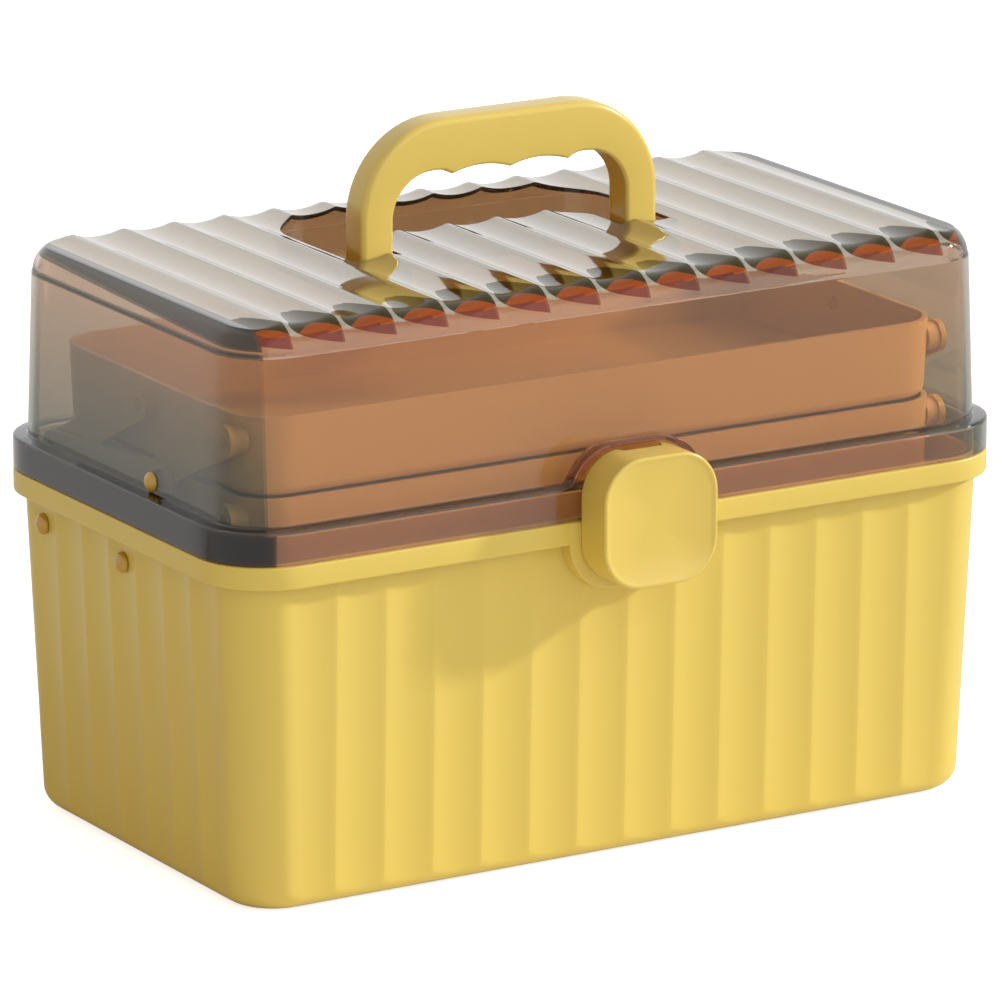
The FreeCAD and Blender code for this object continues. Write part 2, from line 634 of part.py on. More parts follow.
base_face = wall_at(wall_top_x, wall_low_x, f"{under_rim} - {base_pivot_z} - head_radius", under_rim)
lid_face = wall_at(lid_low_x, lid_high_x, "lid_pin_rise", "lid_height")
for label, spot, inner, face in (("base_rear_rivet", rear_pivot, arm_in, base_face),
                                 ("base_front_rivet", front_pivot, arm_in, base_face),
                                 ("lid_link_rivet", link_pin_spot, link_in, lid_face)):
    pin = rivet(label, spot, inner, face)
    finish(pin, label + "_right")
    finish(mirrored(label + "_mirror", pin), label + "_left")


def tray_pins(label, spots, reach):
    """The flush pins of one tray, both ends in one node."""
    made = []
    for number, (spot, end) in enumerate(zip(spots, reach)):
        made += both_ends(f"{label}_pin{number}", "pivot_radius",
                          (f"{tray_x} - tray_wall - 1", end), spot)
    finish(group(label + "_set", made), label)


tray_pins("lower_tray_pins", [lower_front, lower_middle, lower_rear], [arm_out, arm_out, link_out])
tray_pins("upper_tray_pins", [upper_front, upper_rear], [arm_out, arm_out])

bore_reach = "(1.5 * knuckle_length + 2 * knuckle_play)"
for label, side in (("hinge_pin_left", -1), ("hinge_pin_right", 1)):
    middle = f"{side} * hinge_centre"
    finish(rod(label + "_rod", "hinge_pin_radius", (f"{middle} - {bore_reach}", f"{middle} + {bore_reach}"),
               hinge_y, hinge_z), label)

# The handle: two legs on pivot pins, bent over into a grip with finger dips.


def arc(first, through, last):
    """An arc through three places of the handle's outline, seen from the front."""
    spots = [Vector(x, 0, z) for x, z in (first, through, last)]
    return Part.Arc(*spots).toShape()


def line(first, last):
    """A straight edge of the handle's outline."""
    return Part.LineSegment(Vector(first[0], 0, first[1]), Vector(last[0], 0, last[1])).toShape()


def handle_shape():
    """The outline of the handle in the plane of the grip, pushed out to its thickness."""
    half, leg, thick = size("handle_half"), size("handle_leg"), size("handle_thick")
    pivot, bend, inner = size(handle_pivot), size("handle_bend"), size("handle_inner_bend")
    top = pivot + size("handle_rise")
    under = top - size("handle_grip")
    low = pivot - thick / 2
    dip, pitch = size("finger_deep"), size("finger_pitch")
    slant = math.sqrt(0.5)
    edges = [line((-half, low), (-half, top - bend)),
             arc((-half, top - bend), (-half + bend * (1 - slant), top - bend * (1 - slant)),
                 (-half + bend, top)),
             line((-half + bend, top), (half - bend, top)),
             arc((half - bend, top), (half - bend * (1 - slant), top - bend * (1 - slant)),
                 (half, top - bend)),
             line((half, top - bend), (half, low)),
             line((half, low), (half - leg, low)),
             line((half - leg, low), (half - leg, under - inner))]
    clear = half - leg
    edges.append(arc((clear, under - inner), (clear - inner * (1 - slant), under - inner * (1 - slant)),
                     (clear - inner, under)))
    cusps = [step * pitch for step in (1, 0, -1)]
    spots = [clear - inner] + cusps + [-(clear - inner)]
    lows = [under, under - dip, under - dip, under - dip, under]
    for index in range(4):
        start, stop = (spots[index], lows[index]), (spots[index + 1], lows[index + 1])
        middle = ((start[0] + stop[0]) / 2, (start[1] + stop[1]) / 2 + (dip if 0 < index < 3 else dip * 0.4))
        edges.append(arc(start, middle, stop))
    edges.append(arc((inner - clear, under), (inner * (1 - slant) - clear, under - inner * (1 - slant)),
                     (-clear, under - inner)))
    edges.append(line((-clear, under - inner), (-clear, low)))
    edges.append(line((-clear, low), (-half, low)))
    face = Part.Face(Part.Wire(edges))
    solid = face.extrude(Vector(0, thick, 0))
    solid.translate(Vector(0, -thick / 2, 0))
    outer = [edge for edge in solid.Edges if abs(abs(edge.CenterOfMass.y) - thick / 2) < 1e-4
             and edge.BoundBox.ZMax > low + 1
             and (abs(edge.CenterOfMass.x) > clear + 1 or edge.CenterOfMass.z > top - 1)]
    return solid.makeFillet(size("handle_edge"), outer)


handle_body = doc.addObject("Part::Feature", "handle_body")
handle_body.Shape = handle_shape()
leg_in, leg_out = "(handle_half - handle_leg)", "handle_half"
handle_round = [rod("handle_end_right", "handle_thick / 2", (leg_in, leg_out), "0", handle_pivot),
                rod("handle_end_left", "handle_thick / 2", (f"-{leg_out}", f"-{leg_in}"), "0", handle_pivot)]
handle_above = block("handle_above", ("-handle_half", "handle_half"), ("-handle_thick", "handle_thick"),
                     (handle_pivot, f"{handle_pivot} + handle_rise + 1"))
handle_bow = shared("handle_bow", handle_body, join("handle_limits", handle_round + [handle_above]))
handle_eyes = [rod("handle_eye_right", "(handle_pin_radius + pivot_play)",
                   ("handle_half - handle_leg - 1", "handle_half + 1"), "0", handle_pivot),
               rod("handle_eye_left", "(handle_pin_radius + pivot_play)",
                   ("-(handle_half + 1)", "-(handle_half - handle_leg - 1)"), "0", handle_pivot)]
finish(less("handle_drilled", handle_bow, handle_eyes), "handle")
for side, span in handle_pin_spans:
    finish(rod(f"handle_pin_{side}_rod", "handle_pin_radius", span, "0", handle_pivot), f"handle_pin_{side}")

# The latch: a hollow button that hangs from a pin in the lid's seat and snaps over the catch bar.

latch_x = "latch_width / 2"
latch_mid = "seam_height - latch_centre_drop"
latch_z = (f"{latch_mid} - latch_tall / 2", f"{latch_mid} + latch_tall / 2")
latch_front = f"-({rim_y} + latch_face)"
latch_back = f"-({pad_y} + fit_gap)"


def along_y(edge):
    """True for straight edges that run front to back."""
    return abs(edge.tangentAt(edge.FirstParameter).y) > 0.99


def at_front(formula):
    """A test for the edges of a front face."""
    depth = size(formula)
    return lambda edge: all(abs(point.Point.y - depth) < 1e-4 for point in edge.Vertexes)


latch_square = soften("latch_square", block("latch_box", (f"-{latch_x}", latch_x),
                                            (latch_front, latch_back), latch_z),
                      [(along_y, "latch_corner")])
latch_button = soften("latch_button", latch_square, [(at_front(latch_front), "latch_edge")])
latch_hollow = soften("latch_hollow", block("latch_hollow_box",
                                            (f"-({latch_x} - latch_wall)", f"{latch_x} - latch_wall"),
                                            (f"{latch_front} + latch_wall", f"{latch_back} + 1"),
                                            (f"{latch_z[0]} + latch_wall", f"{latch_z[1]} - latch_wall")),
                      [(along_y, "(latch_corner - latch_wall)")])
latch_notch = block("latch_notch", ("-latch_width / 4 - 0.5", "latch_width / 4 + 0.5"),
                    (f"-({rim_y} + catch_out + fit_gap)", f"{latch_back} + 1"),
                    (f"{latch_z[0]} - 1", latch_mid))
latch_relief = block("latch_relief", (f"-({lug_out} + fit_gap)", f"{lug_out} + fit_gap"),
                     (f"{latch_pin_y} + 1.5 * latch_pin_radius", f"{latch_back} + 1"),
                     (latch_mid, f"{latch_z[1]} + 1"))
latch_cup = less("latch_cup", latch_button, [latch_hollow, latch_notch, latch_relief])
latch_ears = []
for side in (-1, 1):
    span = (ear_in, ear_out) if side > 0 else (f"-({ear_out})", f"-({ear_in})")
    latch_ears.append(rod(f"latch_ear{side}", latch_eye_radius, span, latch_pin_y, latch_pin_z))
    latch_ears.append(block(f"latch_ear_web{side}", span, (f"{latch_front} + 1", latch_pin_y),
                            (f"{latch_pin_z} - {latch_eye_radius}", f"{latch_pin_z} + {latch_eye_radius}")))
hook_top = "(seam_height - catch_drop - 0.8)"
latch_hook = block("latch_hook", ("-latch_width / 5", "latch_width / 5"),
                   (f"{latch_front} + 1", f"-({rim_y} + catch_out + fit_gap)"),
                   (f"{hook_top} - latch_wall", hook_top))
latch_solid = join("latch_solid", [latch_cup, latch_hook] + latch_ears)
latch_eye = rod("latch_eye", "(latch_pin_radius + pivot_play)", (f"-({ear_out})", ear_out),
                latch_pin_y, latch_pin_z)
finish(less("latch_drilled", latch_solid, latch_eye), "latch")
finish(rod("latch_pin_rod", "latch_pin_radius", (f"-({ear_out})", ear_out), latch_pin_y, latch_pin_z),
       "latch_pin")

doc.recompute()
os.makedirs("parts", exist_ok=True)
for item in doc.Objects:
    if {"Invalid", "Error"} & set(item.State):
        raise RuntimeError(f"{item.Label} failed to build: {item.State}")
for item in nodes:
    shape = item.Shape
    if shape.isNull() or not shape.isValid() or not shape.Solids:
        raise RuntimeError(f"{item.Label} has no sound solid")
for item in nodes:
    item.Shape.exportStep(f"parts/{item.Label}.step")
    print(item.Label, len(item.Shape.Solids), "solid(s)", round(item.Shape.Volume / 1000, 2), "cc",
          len(item.Shape.Faces), "faces")
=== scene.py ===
# %% [markdown]
# A family medicine box: a fluted yellow base, a smoky see-through lid, two trays that rise on arms,
# a folding handle and a dished latch button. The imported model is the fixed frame: every new surface
# is worked out in its coordinates, in metres, and rides on one of its bodies.
# %% The frame
import math

import bmesh
import bpy
import numpy as np
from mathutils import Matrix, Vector


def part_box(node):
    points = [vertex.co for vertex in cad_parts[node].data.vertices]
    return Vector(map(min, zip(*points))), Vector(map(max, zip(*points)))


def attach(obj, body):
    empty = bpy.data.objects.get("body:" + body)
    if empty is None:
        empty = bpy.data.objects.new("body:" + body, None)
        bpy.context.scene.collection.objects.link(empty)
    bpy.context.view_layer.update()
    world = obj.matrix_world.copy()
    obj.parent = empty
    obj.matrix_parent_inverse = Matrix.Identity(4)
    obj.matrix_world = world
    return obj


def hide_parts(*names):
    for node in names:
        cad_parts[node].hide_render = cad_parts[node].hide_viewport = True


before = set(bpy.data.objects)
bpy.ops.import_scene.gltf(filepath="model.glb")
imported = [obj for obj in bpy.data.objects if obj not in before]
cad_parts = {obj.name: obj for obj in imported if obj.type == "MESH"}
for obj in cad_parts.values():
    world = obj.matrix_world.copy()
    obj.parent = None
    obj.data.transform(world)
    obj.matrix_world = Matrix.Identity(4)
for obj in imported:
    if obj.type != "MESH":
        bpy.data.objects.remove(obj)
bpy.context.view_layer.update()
MM = 0.001

# %% [markdown]
# A surface is a grid of points: its rows run along a profile and its columns run round the piece.
# Blender could revolve or extrude curves, but a grid worked out as one array keeps each formula in
# sight and each piece closed. Caps join the first or last row to one middle point.
# %% Grids that become meshes


def grid_faces(rows, columns):
    """Four corners of each cell between neighbouring rows, with the last column joined to the first."""
    row, column = np.meshgrid(np.arange(rows - 1), np.arange(columns), indexing="ij")
    beside = (column + 1) % columns
    cells = (row * columns + column, row * columns + beside,
             (row + 1) * columns + beside, (row + 1) * columns + column)
    return np.stack(cells, -1).reshape(-1, 4)


def build(name, parts, crease=20):
    """One mesh from (points, faces) pairs in millimetres, merged, turned outwards and smoothed."""
    mesh = bpy.data.meshes.new(name)
    points, faces, start = [], [], 0
    for spots, cells in parts:
        points += (np.asarray(spots) * MM).tolist()
        faces += [[start + corner for corner in cell] for cell in cells]
        start += len(spots)
    mesh.from_pydata(points, [], faces)
    work = bmesh.new()
    work.from_mesh(mesh)
    bmesh.ops.remove_doubles(work, verts=work.verts, dist=1e-6)
    bmesh.ops.dissolve_degenerate(work, edges=work.edges, dist=1e-7)
    bmesh.ops.recalc_face_normals(work, faces=work.faces)
    work.to_mesh(mesh)
    work.free()
    mesh.shade_smooth()
    mesh.set_sharp_from_angle(angle=math.radians(crease))
    piece = bpy.data.objects.new(name, mesh)
    bpy.context.scene.collection.objects.link(piece)
    return piece


def closed_skin(rings):
    """A closed skin from a stack of rings, its two ends capped at their middles."""
    rings = np.asarray(rings, float)
    rows, columns, _ = rings.shape
    points = np.vstack([rings.reshape(-1, 3), rings[0].mean(0), rings[-1].mean(0)])
    faces = grid_faces(rows, columns).tolist()
    around = np.arange(columns)
    beside = (around + 1) % columns
    first, last = rows * columns, rows * columns + 1
    faces += np.stack([around, np.full(columns, first), beside], -1).tolist()
    offset = (rows - 1) * columns
    faces += np.stack([offset + around, offset + beside, np.full(columns, last)], -1).tolist()
    return points, faces


def open_sleeve(rings):
    """The points and faces of a stack of rings with no caps."""
    return rings.reshape(-1, 3), grid_faces(len(rings), rings.shape[1]).tolist()


# %% [markdown]
# The box is a family of rounded rectangles. Real shells of this kind are moulded, so the wall leans
# out a little, its edges are rolled, and flutes stiffen it. Each ring is a rounded rectangle at one
# height, and the flutes scoop the wall between their ridges.
# %% Rounded rectangles
LEAST_RADIUS = 0.02


def plate(low, high, corners, marks=((), ()), turns=12):
    """Outline of a rectangle with a radius at each corner, as a function of how far it is inset."""
    low, high = np.asarray(low, float), np.asarray(high, float)
    arc = np.linspace(0, np.pi / 2, turns)

    def shape(inset=0.0):
        (left, near), (right, far) = low + inset, high - inset
        points = []
        for side, corner in enumerate(np.broadcast_to(corners, 4)):
            radius = max(corner - inset, LEAST_RADIUS)
            centre = np.array([left + radius if side in (0, 3) else right - radius,
                               near + radius if side < 2 else far - radius])
            angle = arc + np.pi + side * np.pi / 2
            points.append(centre + radius * np.column_stack([np.cos(angle), np.sin(angle)]))
            along = np.asarray(marks[side % 2], float)
            along = along if side < 2 else along[::-1]
            fixed = np.full(len(along), (near, right, far, left)[side])
            points.append(np.column_stack([fixed, along] if side % 2 else [along, fixed]))
        return np.vstack(points)
    return shape


def along_x(shape, place):
    """An outline in y and z, put at one x."""
    return np.column_stack([np.full(len(shape), place), shape])


def along_y(shape, place):
    """An outline in x and z, put at one y."""
    return np.column_stack([shape[:, 0], np.full(len(shape), place), shape[:, 1]])


def along_z(shape, place):
    """An outline in x and y, put at one z."""
    return np.column_stack([shape, np.full(len(shape), place)])


def rolled(count=7):
    """Sine and cosine pairs of a quarter turn."""
    return [(math.sin(a), math.cos(a)) for a in np.linspace(0, np.pi / 2, count)]


def slab(shape, near, far, edge, lay, steps=5):
    """A closed slab: an outline carried from near to far, with its edges rolled."""
    rows = [(near + edge * (1 - s), edge * (1 - c)) for s, c in rolled(steps)[::-1]]
    rows += [(far - edge * (1 - s), edge * (1 - c)) for s, c in rolled(steps)]
    return closed_skin([lay(shape(inset), place) for place, inset in rows])


# %% [markdown]
# The base is one closed skin: it starts in the middle of its floor inside, climbs the inner wall,
# turns over the hollow rim, comes down the fluted outside and rolls under the foot.
# %% Base shell
SEAM, BASE_RIM, BASE_STEP = 130.4, 8.6, 5.0
RIM, RIM_CORNER = np.array([165.0, 94.0]), 27.5
WALL_LEAN, BASE_CORNER, FOOT = np.array([4.5, 3.0]), 21.0, 8.0
PITCH, DEEP = 20.2, 1.15
FRONT_FLUTES, END_FLUTES = 7 * PITCH, 3.5 * PITCH
FRONT_STRAIGHT, END_STRAIGHT = 134.4, 64.9
SKIN, FLOOR = 3.6, 2.6
UNDER_RIM = SEAM - BASE_RIM
RIDGE = np.array([0.0, 0.02, 0.1, 0.24, 0.41, 0.59, 0.76, 0.9, 0.98])
RIDGE_NUMBERS = np.arange(-8, 8)
BLUNT = 0.07


def flute_marks(shift, limit):
    """Places along a wall: every ridge, a close pair beside it and some between, inside a limit."""
    marks = ((RIDGE_NUMBERS[:, None] + RIDGE).ravel() + shift) * PITCH
    return marks[np.abs(marks) < limit]


wall_marks = (flute_marks(0.0, FRONT_STRAIGHT), flute_marks(0.5, END_STRAIGHT))


def scallop(along, pitch, shift, limit):
    """0 on the ridges and 1 in the middle of each flute, with the ridge a little blunt."""
    share = (along / pitch + shift) % 1.0 - 0.5
    return np.where(np.abs(along) < limit, np.maximum(1 - (2 * share) ** 2, BLUNT), 0.0)


def wall_half(height):
    """Half the size of the outside wall at one height."""
    return RIM - BASE_STEP - WALL_LEAN * (1 - height / UNDER_RIM)


def base_ring(height, inset=0.0, fluted=True):
    """One ring of the base wall, inset for its rolled foot and scooped by the flutes."""
    half = wall_half(height)
    shape = plate(-half, half, BASE_CORNER, wall_marks)(inset)
    if fluted:
        front = half[1] - DEEP * scallop(shape[:, 0], PITCH, 0.0, FRONT_FLUTES)
        ends = half[0] - DEEP * scallop(shape[:, 1], PITCH, 0.5, END_FLUTES)
        shape = np.column_stack([np.clip(shape[:, 0], -ends, ends), np.clip(shape[:, 1], -front, front)])
    return along_z(shape, height)


def rim_ring(height, inset):
    """One ring of the rim, inset from its outside."""
    return along_z(plate(-RIM, RIM, RIM_CORNER, wall_marks)(inset), height)


def base_rings():
    """Rings from the inside of the floor, over the rim and down to the underside."""
    fillet, edge = FOOT - SKIN, 0.9
    rings = [base_ring(FLOOR + fillet * (1 - c), SKIN + fillet * (1 - s), False) for s, c in rolled()]
    rings += [base_ring(z, SKIN, False) for z in (30, 60, 90, 110, UNDER_RIM)]
    top = RIM - BASE_STEP
    rings += [along_z(plate(-top, top, BASE_CORNER, wall_marks)(SKIN - lift), z)
              for z, lift in ((SEAM - 0.5, 0.0), (SEAM, 0.5))]
    rings += [rim_ring(SEAM - edge * (1 - c), edge * (1 - s)) for s, c in rolled(5)]
    rings += [rim_ring(UNDER_RIM + edge * (1 - s), edge * (1 - c)) for s, c in rolled(5)]
    rings += [rim_ring(z, inset) for z, inset in ((UNDER_RIM, 2.0), (SEAM - 2, 2.2), (SEAM - 2, 4.3),
                                                  (UNDER_RIM, 4.5))]
    rings += [base_ring(z) for z in (UNDER_RIM, 100, 75, 50, 30, 16, FOOT)]
    rings += [base_ring(FOOT * (1 - s), FOOT * (1 - c)) for s, c in rolled(11)[1:]]
    return rings


def drum(near, far, spot, radius, edge=0.5):
    """A closed rod along x between two places, round a spot seen from the side."""
    spot = np.asarray(spot, float)
    return slab(plate(spot - radius, spot + radius, radius), near, far, edge, along_x)


def brick(low, high, edge=0.4):
    """A closed block with rolled edges."""
    return slab(plate(low[:2], high[:2], edge + 0.05, turns=4), low[2], high[2], edge, along_z, 4)


HINGE, KNUCKLE, KNUCKLE_LONG = (98.5, 131.0), 4.0, 10.6
HINGE_MIDDLE, HINGE_STEP = 94.0, 11.0
ARM_PIVOTS = ((61.5, 112.0), (0.5, 112.0))
BOSS, BOSS_NEAR, BOSS_FAR = 5.2, 151.8, 158.0
SEAT_HALF, SEAT_FALL, SEAT_CORNER = 28.0, 26.8, 18.0


def knuckle(middle, low, high):
    """A hinge knuckle round the pin, and the block between two heights that ties it to the shell."""
    near, far = middle - KNUCKLE_LONG / 2, middle + KNUCKLE_LONG / 2
    return [drum(near, far, HINGE, KNUCKLE), brick((near, low[0], low[1]), (far, HINGE[0], high))]


def base_fittings():
    """The latch seat, the bar that the latch holds, the pivots' bosses and the hinge knuckles."""
    corners = (SEAT_CORNER, SEAT_CORNER, 0.4, 0.4)
    seat = plate((-SEAT_HALF, SEAM - SEAT_FALL), (SEAT_HALF, SEAM - 0.15), corners)
    parts = [slab(seat, -94.2, -86, 0.8, along_y), brick((-11.8, -97.6, 117.4), (11.8, -92, 120.4), 0.5)]
    for side in (-1, 1):
        for spot in ARM_PIVOTS:
            near, far = sorted((side * BOSS_NEAR, side * BOSS_FAR))
            parts.append(drum(near, far, spot, BOSS))
        for step in (-HINGE_STEP, HINGE_STEP):
            parts += knuckle(side * HINGE_MIDDLE + step, (92, UNDER_RIM + 0.3), SEAM - 0.3)
    return parts


base_shell = build("base_shell_moulded", [closed_skin(base_rings())] + base_fittings(), crease=24)
print("base faces:", len(base_shell.data.polygons))

# %% [markdown]
# The handle is a section carried along its path: up one leg, round the bend, across the grip with its
# finger dips, and down the other leg. The outer and the inner edge of the path are two curves with the
# same number of places, so the section stretches between them as the leg turns into the grip.
# %% Handle
PIVOT, TOP, THICK = 206.0, 261.8, 6.8
HALF, LEG, GRIP, BEND, INNER = 63.2, 13.4, 19.0, 36.0, 17.0
FINGER, DIP, SWELL = 24.5, 2.1, 0.8
CLEAR = HALF - LEG - INNER


def finger_line(x):
    """Height of the underside of the grip: arcs between the finger dips."""
    x = np.abs(x)
    middle = TOP - GRIP - DIP + DIP * (1 - (2 * x / FINGER - 1) ** 2)
    share = np.clip((x - FINGER) / (CLEAR - FINGER), 0, 1)
    return np.where(x <= FINGER, middle, TOP - GRIP - DIP * (1 - share) + SWELL * np.sin(np.pi * share))


def handle_path():
    """(outer, inner, half thickness) along the left half of the handle and then the right half."""
    foot = TOP - BEND
    rows = []
    for a in np.radians([88, 75, 60, 45, 30, 15, 0]):
        height = PIVOT - THICK * math.sin(a)
        rows.append(((-HALF, height), (LEG - HALF, height), THICK * math.cos(a)))
    rows += [((-HALF, z), (LEG - HALF, z), THICK) for z in np.linspace(PIVOT, foot, 6)[1:]]
    for s, c in rolled(15)[1:]:
        outer = (BEND - HALF - BEND * c, foot + BEND * s)
        inner = (LEG + INNER - HALF - INNER * c, foot + INNER * s)
        rows.append((outer, inner, THICK))
    for share in np.linspace(-1, 1, 41)[1:21]:
        inner_x = CLEAR * share
        rows.append((((HALF - BEND) * share, TOP), (inner_x, float(finger_line(inner_x))), THICK))
    mirrored = [((-outer[0], outer[1]), (-inner[0], inner[1]), thick) for outer, inner, thick in rows[-2::-1]]
    return rows + mirrored


def carried(outer, inner, thick, edges=(1.3, 2.6)):
    """The section between two edges of a path: rounded inside and more rounded outside."""
    outer, inner = np.array(outer), np.array(inner)
    wide = float(np.linalg.norm(outer - inner))
    round_out = min(edges[1], thick * 0.8, wide * 0.45)
    round_in = min(edges[0], thick * 0.5, wide * 0.45)
    section = plate((0, -thick), (wide, thick), (round_in, round_out, round_out, round_in), turns=7)()
    spot = inner + (outer - inner) * section[:, :1] / wide
    return np.column_stack([spot[:, 0], section[:, 1], spot[:, 1]])


handle = build("handle_moulded", [closed_skin([carried(*row) for row in handle_path()])], crease=30)
print("handle faces:", len(handle.data.polygons))

# %% [markdown]
# The latch is a hollow button. Its face is a shallow dish inside a crisp edge, so a band of light runs
# round it. Its rings start in the middle of the face and end in the middle of the hollow behind it.
# %% Latch button
LATCH_LOW, LATCH_HIGH, LATCH_CORNER = (-23.9, 106.9), (23.9, 155.3), 16.0
LATCH_FRONT, LATCH_BACK, LATCH_WALL = -110.9, -94.5, 2.4
LATCH_PIN, LATCH_EYE = (-100.0, 149.4), 3.2
DISH, DISH_EDGE, DISH_REACH = 2.5, 2.1, 20.0
ROUND = 0.9
NOTCH_HALF, NOTCH_TOP = 12.6, 112.0
RELIEF_HALF, RELIEF_FOOT = 8.4, 150.0
CUT_FRONT, CUT_START = -98.2, -99.0


def latch_front():
    """(depth, inset) of the rings of the front: dished face, crisp edge and the start of the side."""
    spread = [22.0, 19.0, 16.0, 13.0, 10.0, 7.5, 5.5, 4.0, 3.0, 2.2]
    rows = [(DISH - DISH_EDGE * ((spread[0] - inset) / DISH_REACH) ** 2, inset) for inset in spread]
    rows += [(0.22, 1.7), (0.06, 1.3)]
    rows += [(ROUND * (1 - c), ROUND * (1 - s)) for s, c in rolled(6)]
    return rows


def make_latch():
    """The button with its eyes and the hook that snaps under the bar of the base."""
    shape = plate(LATCH_LOW, LATCH_HIGH, LATCH_CORNER, turns=20)
    places = [(LATCH_FRONT + depth, inset) for depth, inset in latch_front()]
    places += [(-103, 0), (LATCH_BACK - 0.4, 0), (LATCH_BACK, 0.4), (LATCH_BACK, LATCH_WALL - 0.4),
               (LATCH_BACK - 0.4, LATCH_WALL), (LATCH_FRONT + 4, LATCH_WALL)]
    rings = np.array([along_y(shape(inset), place) for place, inset in places])
    x, y, z = rings[..., 0], rings[..., 1], rings[..., 2]
    notch = (np.abs(x) < NOTCH_HALF) & (z < NOTCH_TOP)
    relief = (np.abs(x) < RELIEF_HALF) & (z > RELIEF_FOOT)
    rings[..., 1] = np.where((notch | relief) & (y > CUT_START), CUT_FRONT, y)
    parts = [closed_skin(rings)]
    for side in (-1, 1):
        near, far = sorted((side * 8.1, side * 11.5))
        parts.append(drum(near, far, LATCH_PIN, LATCH_EYE, 0.3))
        parts.append(brick((near, -108.5, 146.4), (far, LATCH_PIN[0], 152.4), 0.3))
    parts.append(brick((-9.5, -108.5, 114.2), (9.5, -98, 116.6), 0.4))
    return build("latch_button", parts, crease=26)


latch = make_latch()

# %% [markdown]
# The lid is the hardest shell. Its top is one grid of places: columns run from front to back, so that
# each ridge is a column, and rows bend round the recess and the tongue inside it. Cells of the top
# and cells of the recess floor use the same places at two heights, and walls join them. The edge of
# the grid is the loop that the rings of the walls follow, so the whole shell closes without seams.
# %% Lid top
LID_TOP, LID_ROUND, LID_PITCH, LID_DEEP = 215.0, 11.0, 21.05, 1.8
FADE = 0.6
LID_STEP, LID_LEAN, LID_WALL = 5.4, 2.3, 2.0
LID_LOW, LID_HIGH, LID_CORNER = RIM - LID_STEP, RIM - LID_STEP - LID_LEAN, 21.0
LID_FOOT, LID_RIM = SEAM + 0.12, 143.0
STRAIGHT = LID_HIGH[0] - LID_CORNER
RECESS_X, RECESS_BEND, RECESS_Y = 38.0, 30.0, 37.0
TONGUE_X, TONGUE_BEND, TONGUE_Y = 34.5, 12.0, 10.0
RECESS_FRONT, RECESS_DEEP = -7.5, 16.5
TURNS = np.linspace(0, np.pi / 2, 9)
CHUNKS = (7, 4, 6, 4)


def lid_marks():
    """Columns of the straight part: ridges, places between them, and those of the recess outline."""
    ridges = ((RIDGE_NUMBERS[:, None] + RIDGE).ravel() + 0.5) * LID_PITCH
    outlines = ((RECESS_X, RECESS_BEND), (RECESS_X, RECESS_BEND + LID_WALL),
                (TONGUE_X, TONGUE_BEND), (TONGUE_X, TONGUE_BEND - LID_WALL))
    bends = np.concatenate([middle + radius * np.sin(TURNS) for middle, radius in outlines])
    marks = np.sort(np.concatenate([ridges, bends, -bends]))
    marks = marks[np.abs(marks) < STRAIGHT - 0.2]
    keep = np.concatenate([[True], np.diff(marks) > 0.05])
    return marks[keep]


MARKS = lid_marks()


def columns_of(half, corner):
    """x of every column, and y of its end, for a rounded rectangle of that half size."""
    reach = half - corner
    arc_x, arc_y = reach[0] + corner * np.sin(TURNS), reach[1] + corner * np.cos(TURNS)
    x = np.concatenate([-arc_x[::-1], MARKS, arc_x])
    y = np.concatenate([arc_y[::-1], np.full(len(MARKS), half[1]), arc_y])
    return x, y


def bend(x, centre, radius, flat):
    """y of a rounded back corner, for columns under it, and of its lowest place beyond it."""
    over = np.clip(np.abs(x) - centre, 0, radius)
    return flat + np.sqrt(np.maximum(radius ** 2 - over ** 2, 0))


def top_grid(half, corner, grow):
    """x and y of every place of the top, and of the recess and tongue grown or shrunk by a wall."""
    x, end = columns_of(half, corner)
    tongue = bend(x, TONGUE_X, TONGUE_BEND - grow, TONGUE_Y)
    recess = bend(x, RECESS_X, RECESS_BEND + grow, RECESS_Y)
    lines = [-end, np.full_like(x, RECESS_FRONT - grow), tongue, recess, end]
    rows = [np.linspace(lines[k], lines[k + 1], CHUNKS[k] + 1)[:-1] for k in range(4)]
    y = np.vstack(rows + [end[None]])
    return np.broadcast_to(x, y.shape), y


def top_cells(x, grow):
    """True for cells at the height of the top, over rows and columns of cells."""
    middle = np.abs((x[0, 1:] + x[0, :-1]) / 2)
    starts = np.cumsum((0,) + CHUNKS)
    top = np.ones((starts[-1], len(middle)), bool)
    beside = middle > RECESS_X + RECESS_BEND + grow
    top[starts[1]:starts[2]] = beside | (middle < TONGUE_X + TONGUE_BEND - grow)
    top[starts[2]:starts[3]] = beside
    return top


def lid_flute(x):
    """Depth of the flutes on the lid top."""
    return LID_DEEP * scallop(x, LID_PITCH, 0.5, RIM[0])


def lid_top_skin(half, corner, grow, height, floor):
    """Top and recess as (points, faces): two sheets over one grid, joined by the recess walls."""
    x, y = top_grid(half, corner, grow)
    shape = x.shape
    index = np.arange(x.size).reshape(shape)
    points = np.vstack([np.column_stack([x.ravel(), y.ravel(), np.broadcast_to(z, shape).ravel()])
                        for z in (height(x), floor)])
    cells = np.stack([index[:-1, :-1], index[:-1, 1:], index[1:, 1:], index[1:, :-1]], -1)
    top = top_cells(x, grow)
    faces = cells[top].tolist() + (cells[~top] + x.size).tolist()
    for a, b, first, second in ((top[:, :-1], top[:, 1:], index[:-1, 1:-1], index[1:, 1:-1]),
                                (top[:-1], top[1:], index[1:-1, :-1], index[1:-1, 1:])):
        edge = a != b
        low, high = first[edge], second[edge]
        faces += np.stack([low, high, high + x.size, low + x.size], -1).tolist()
    return points, faces


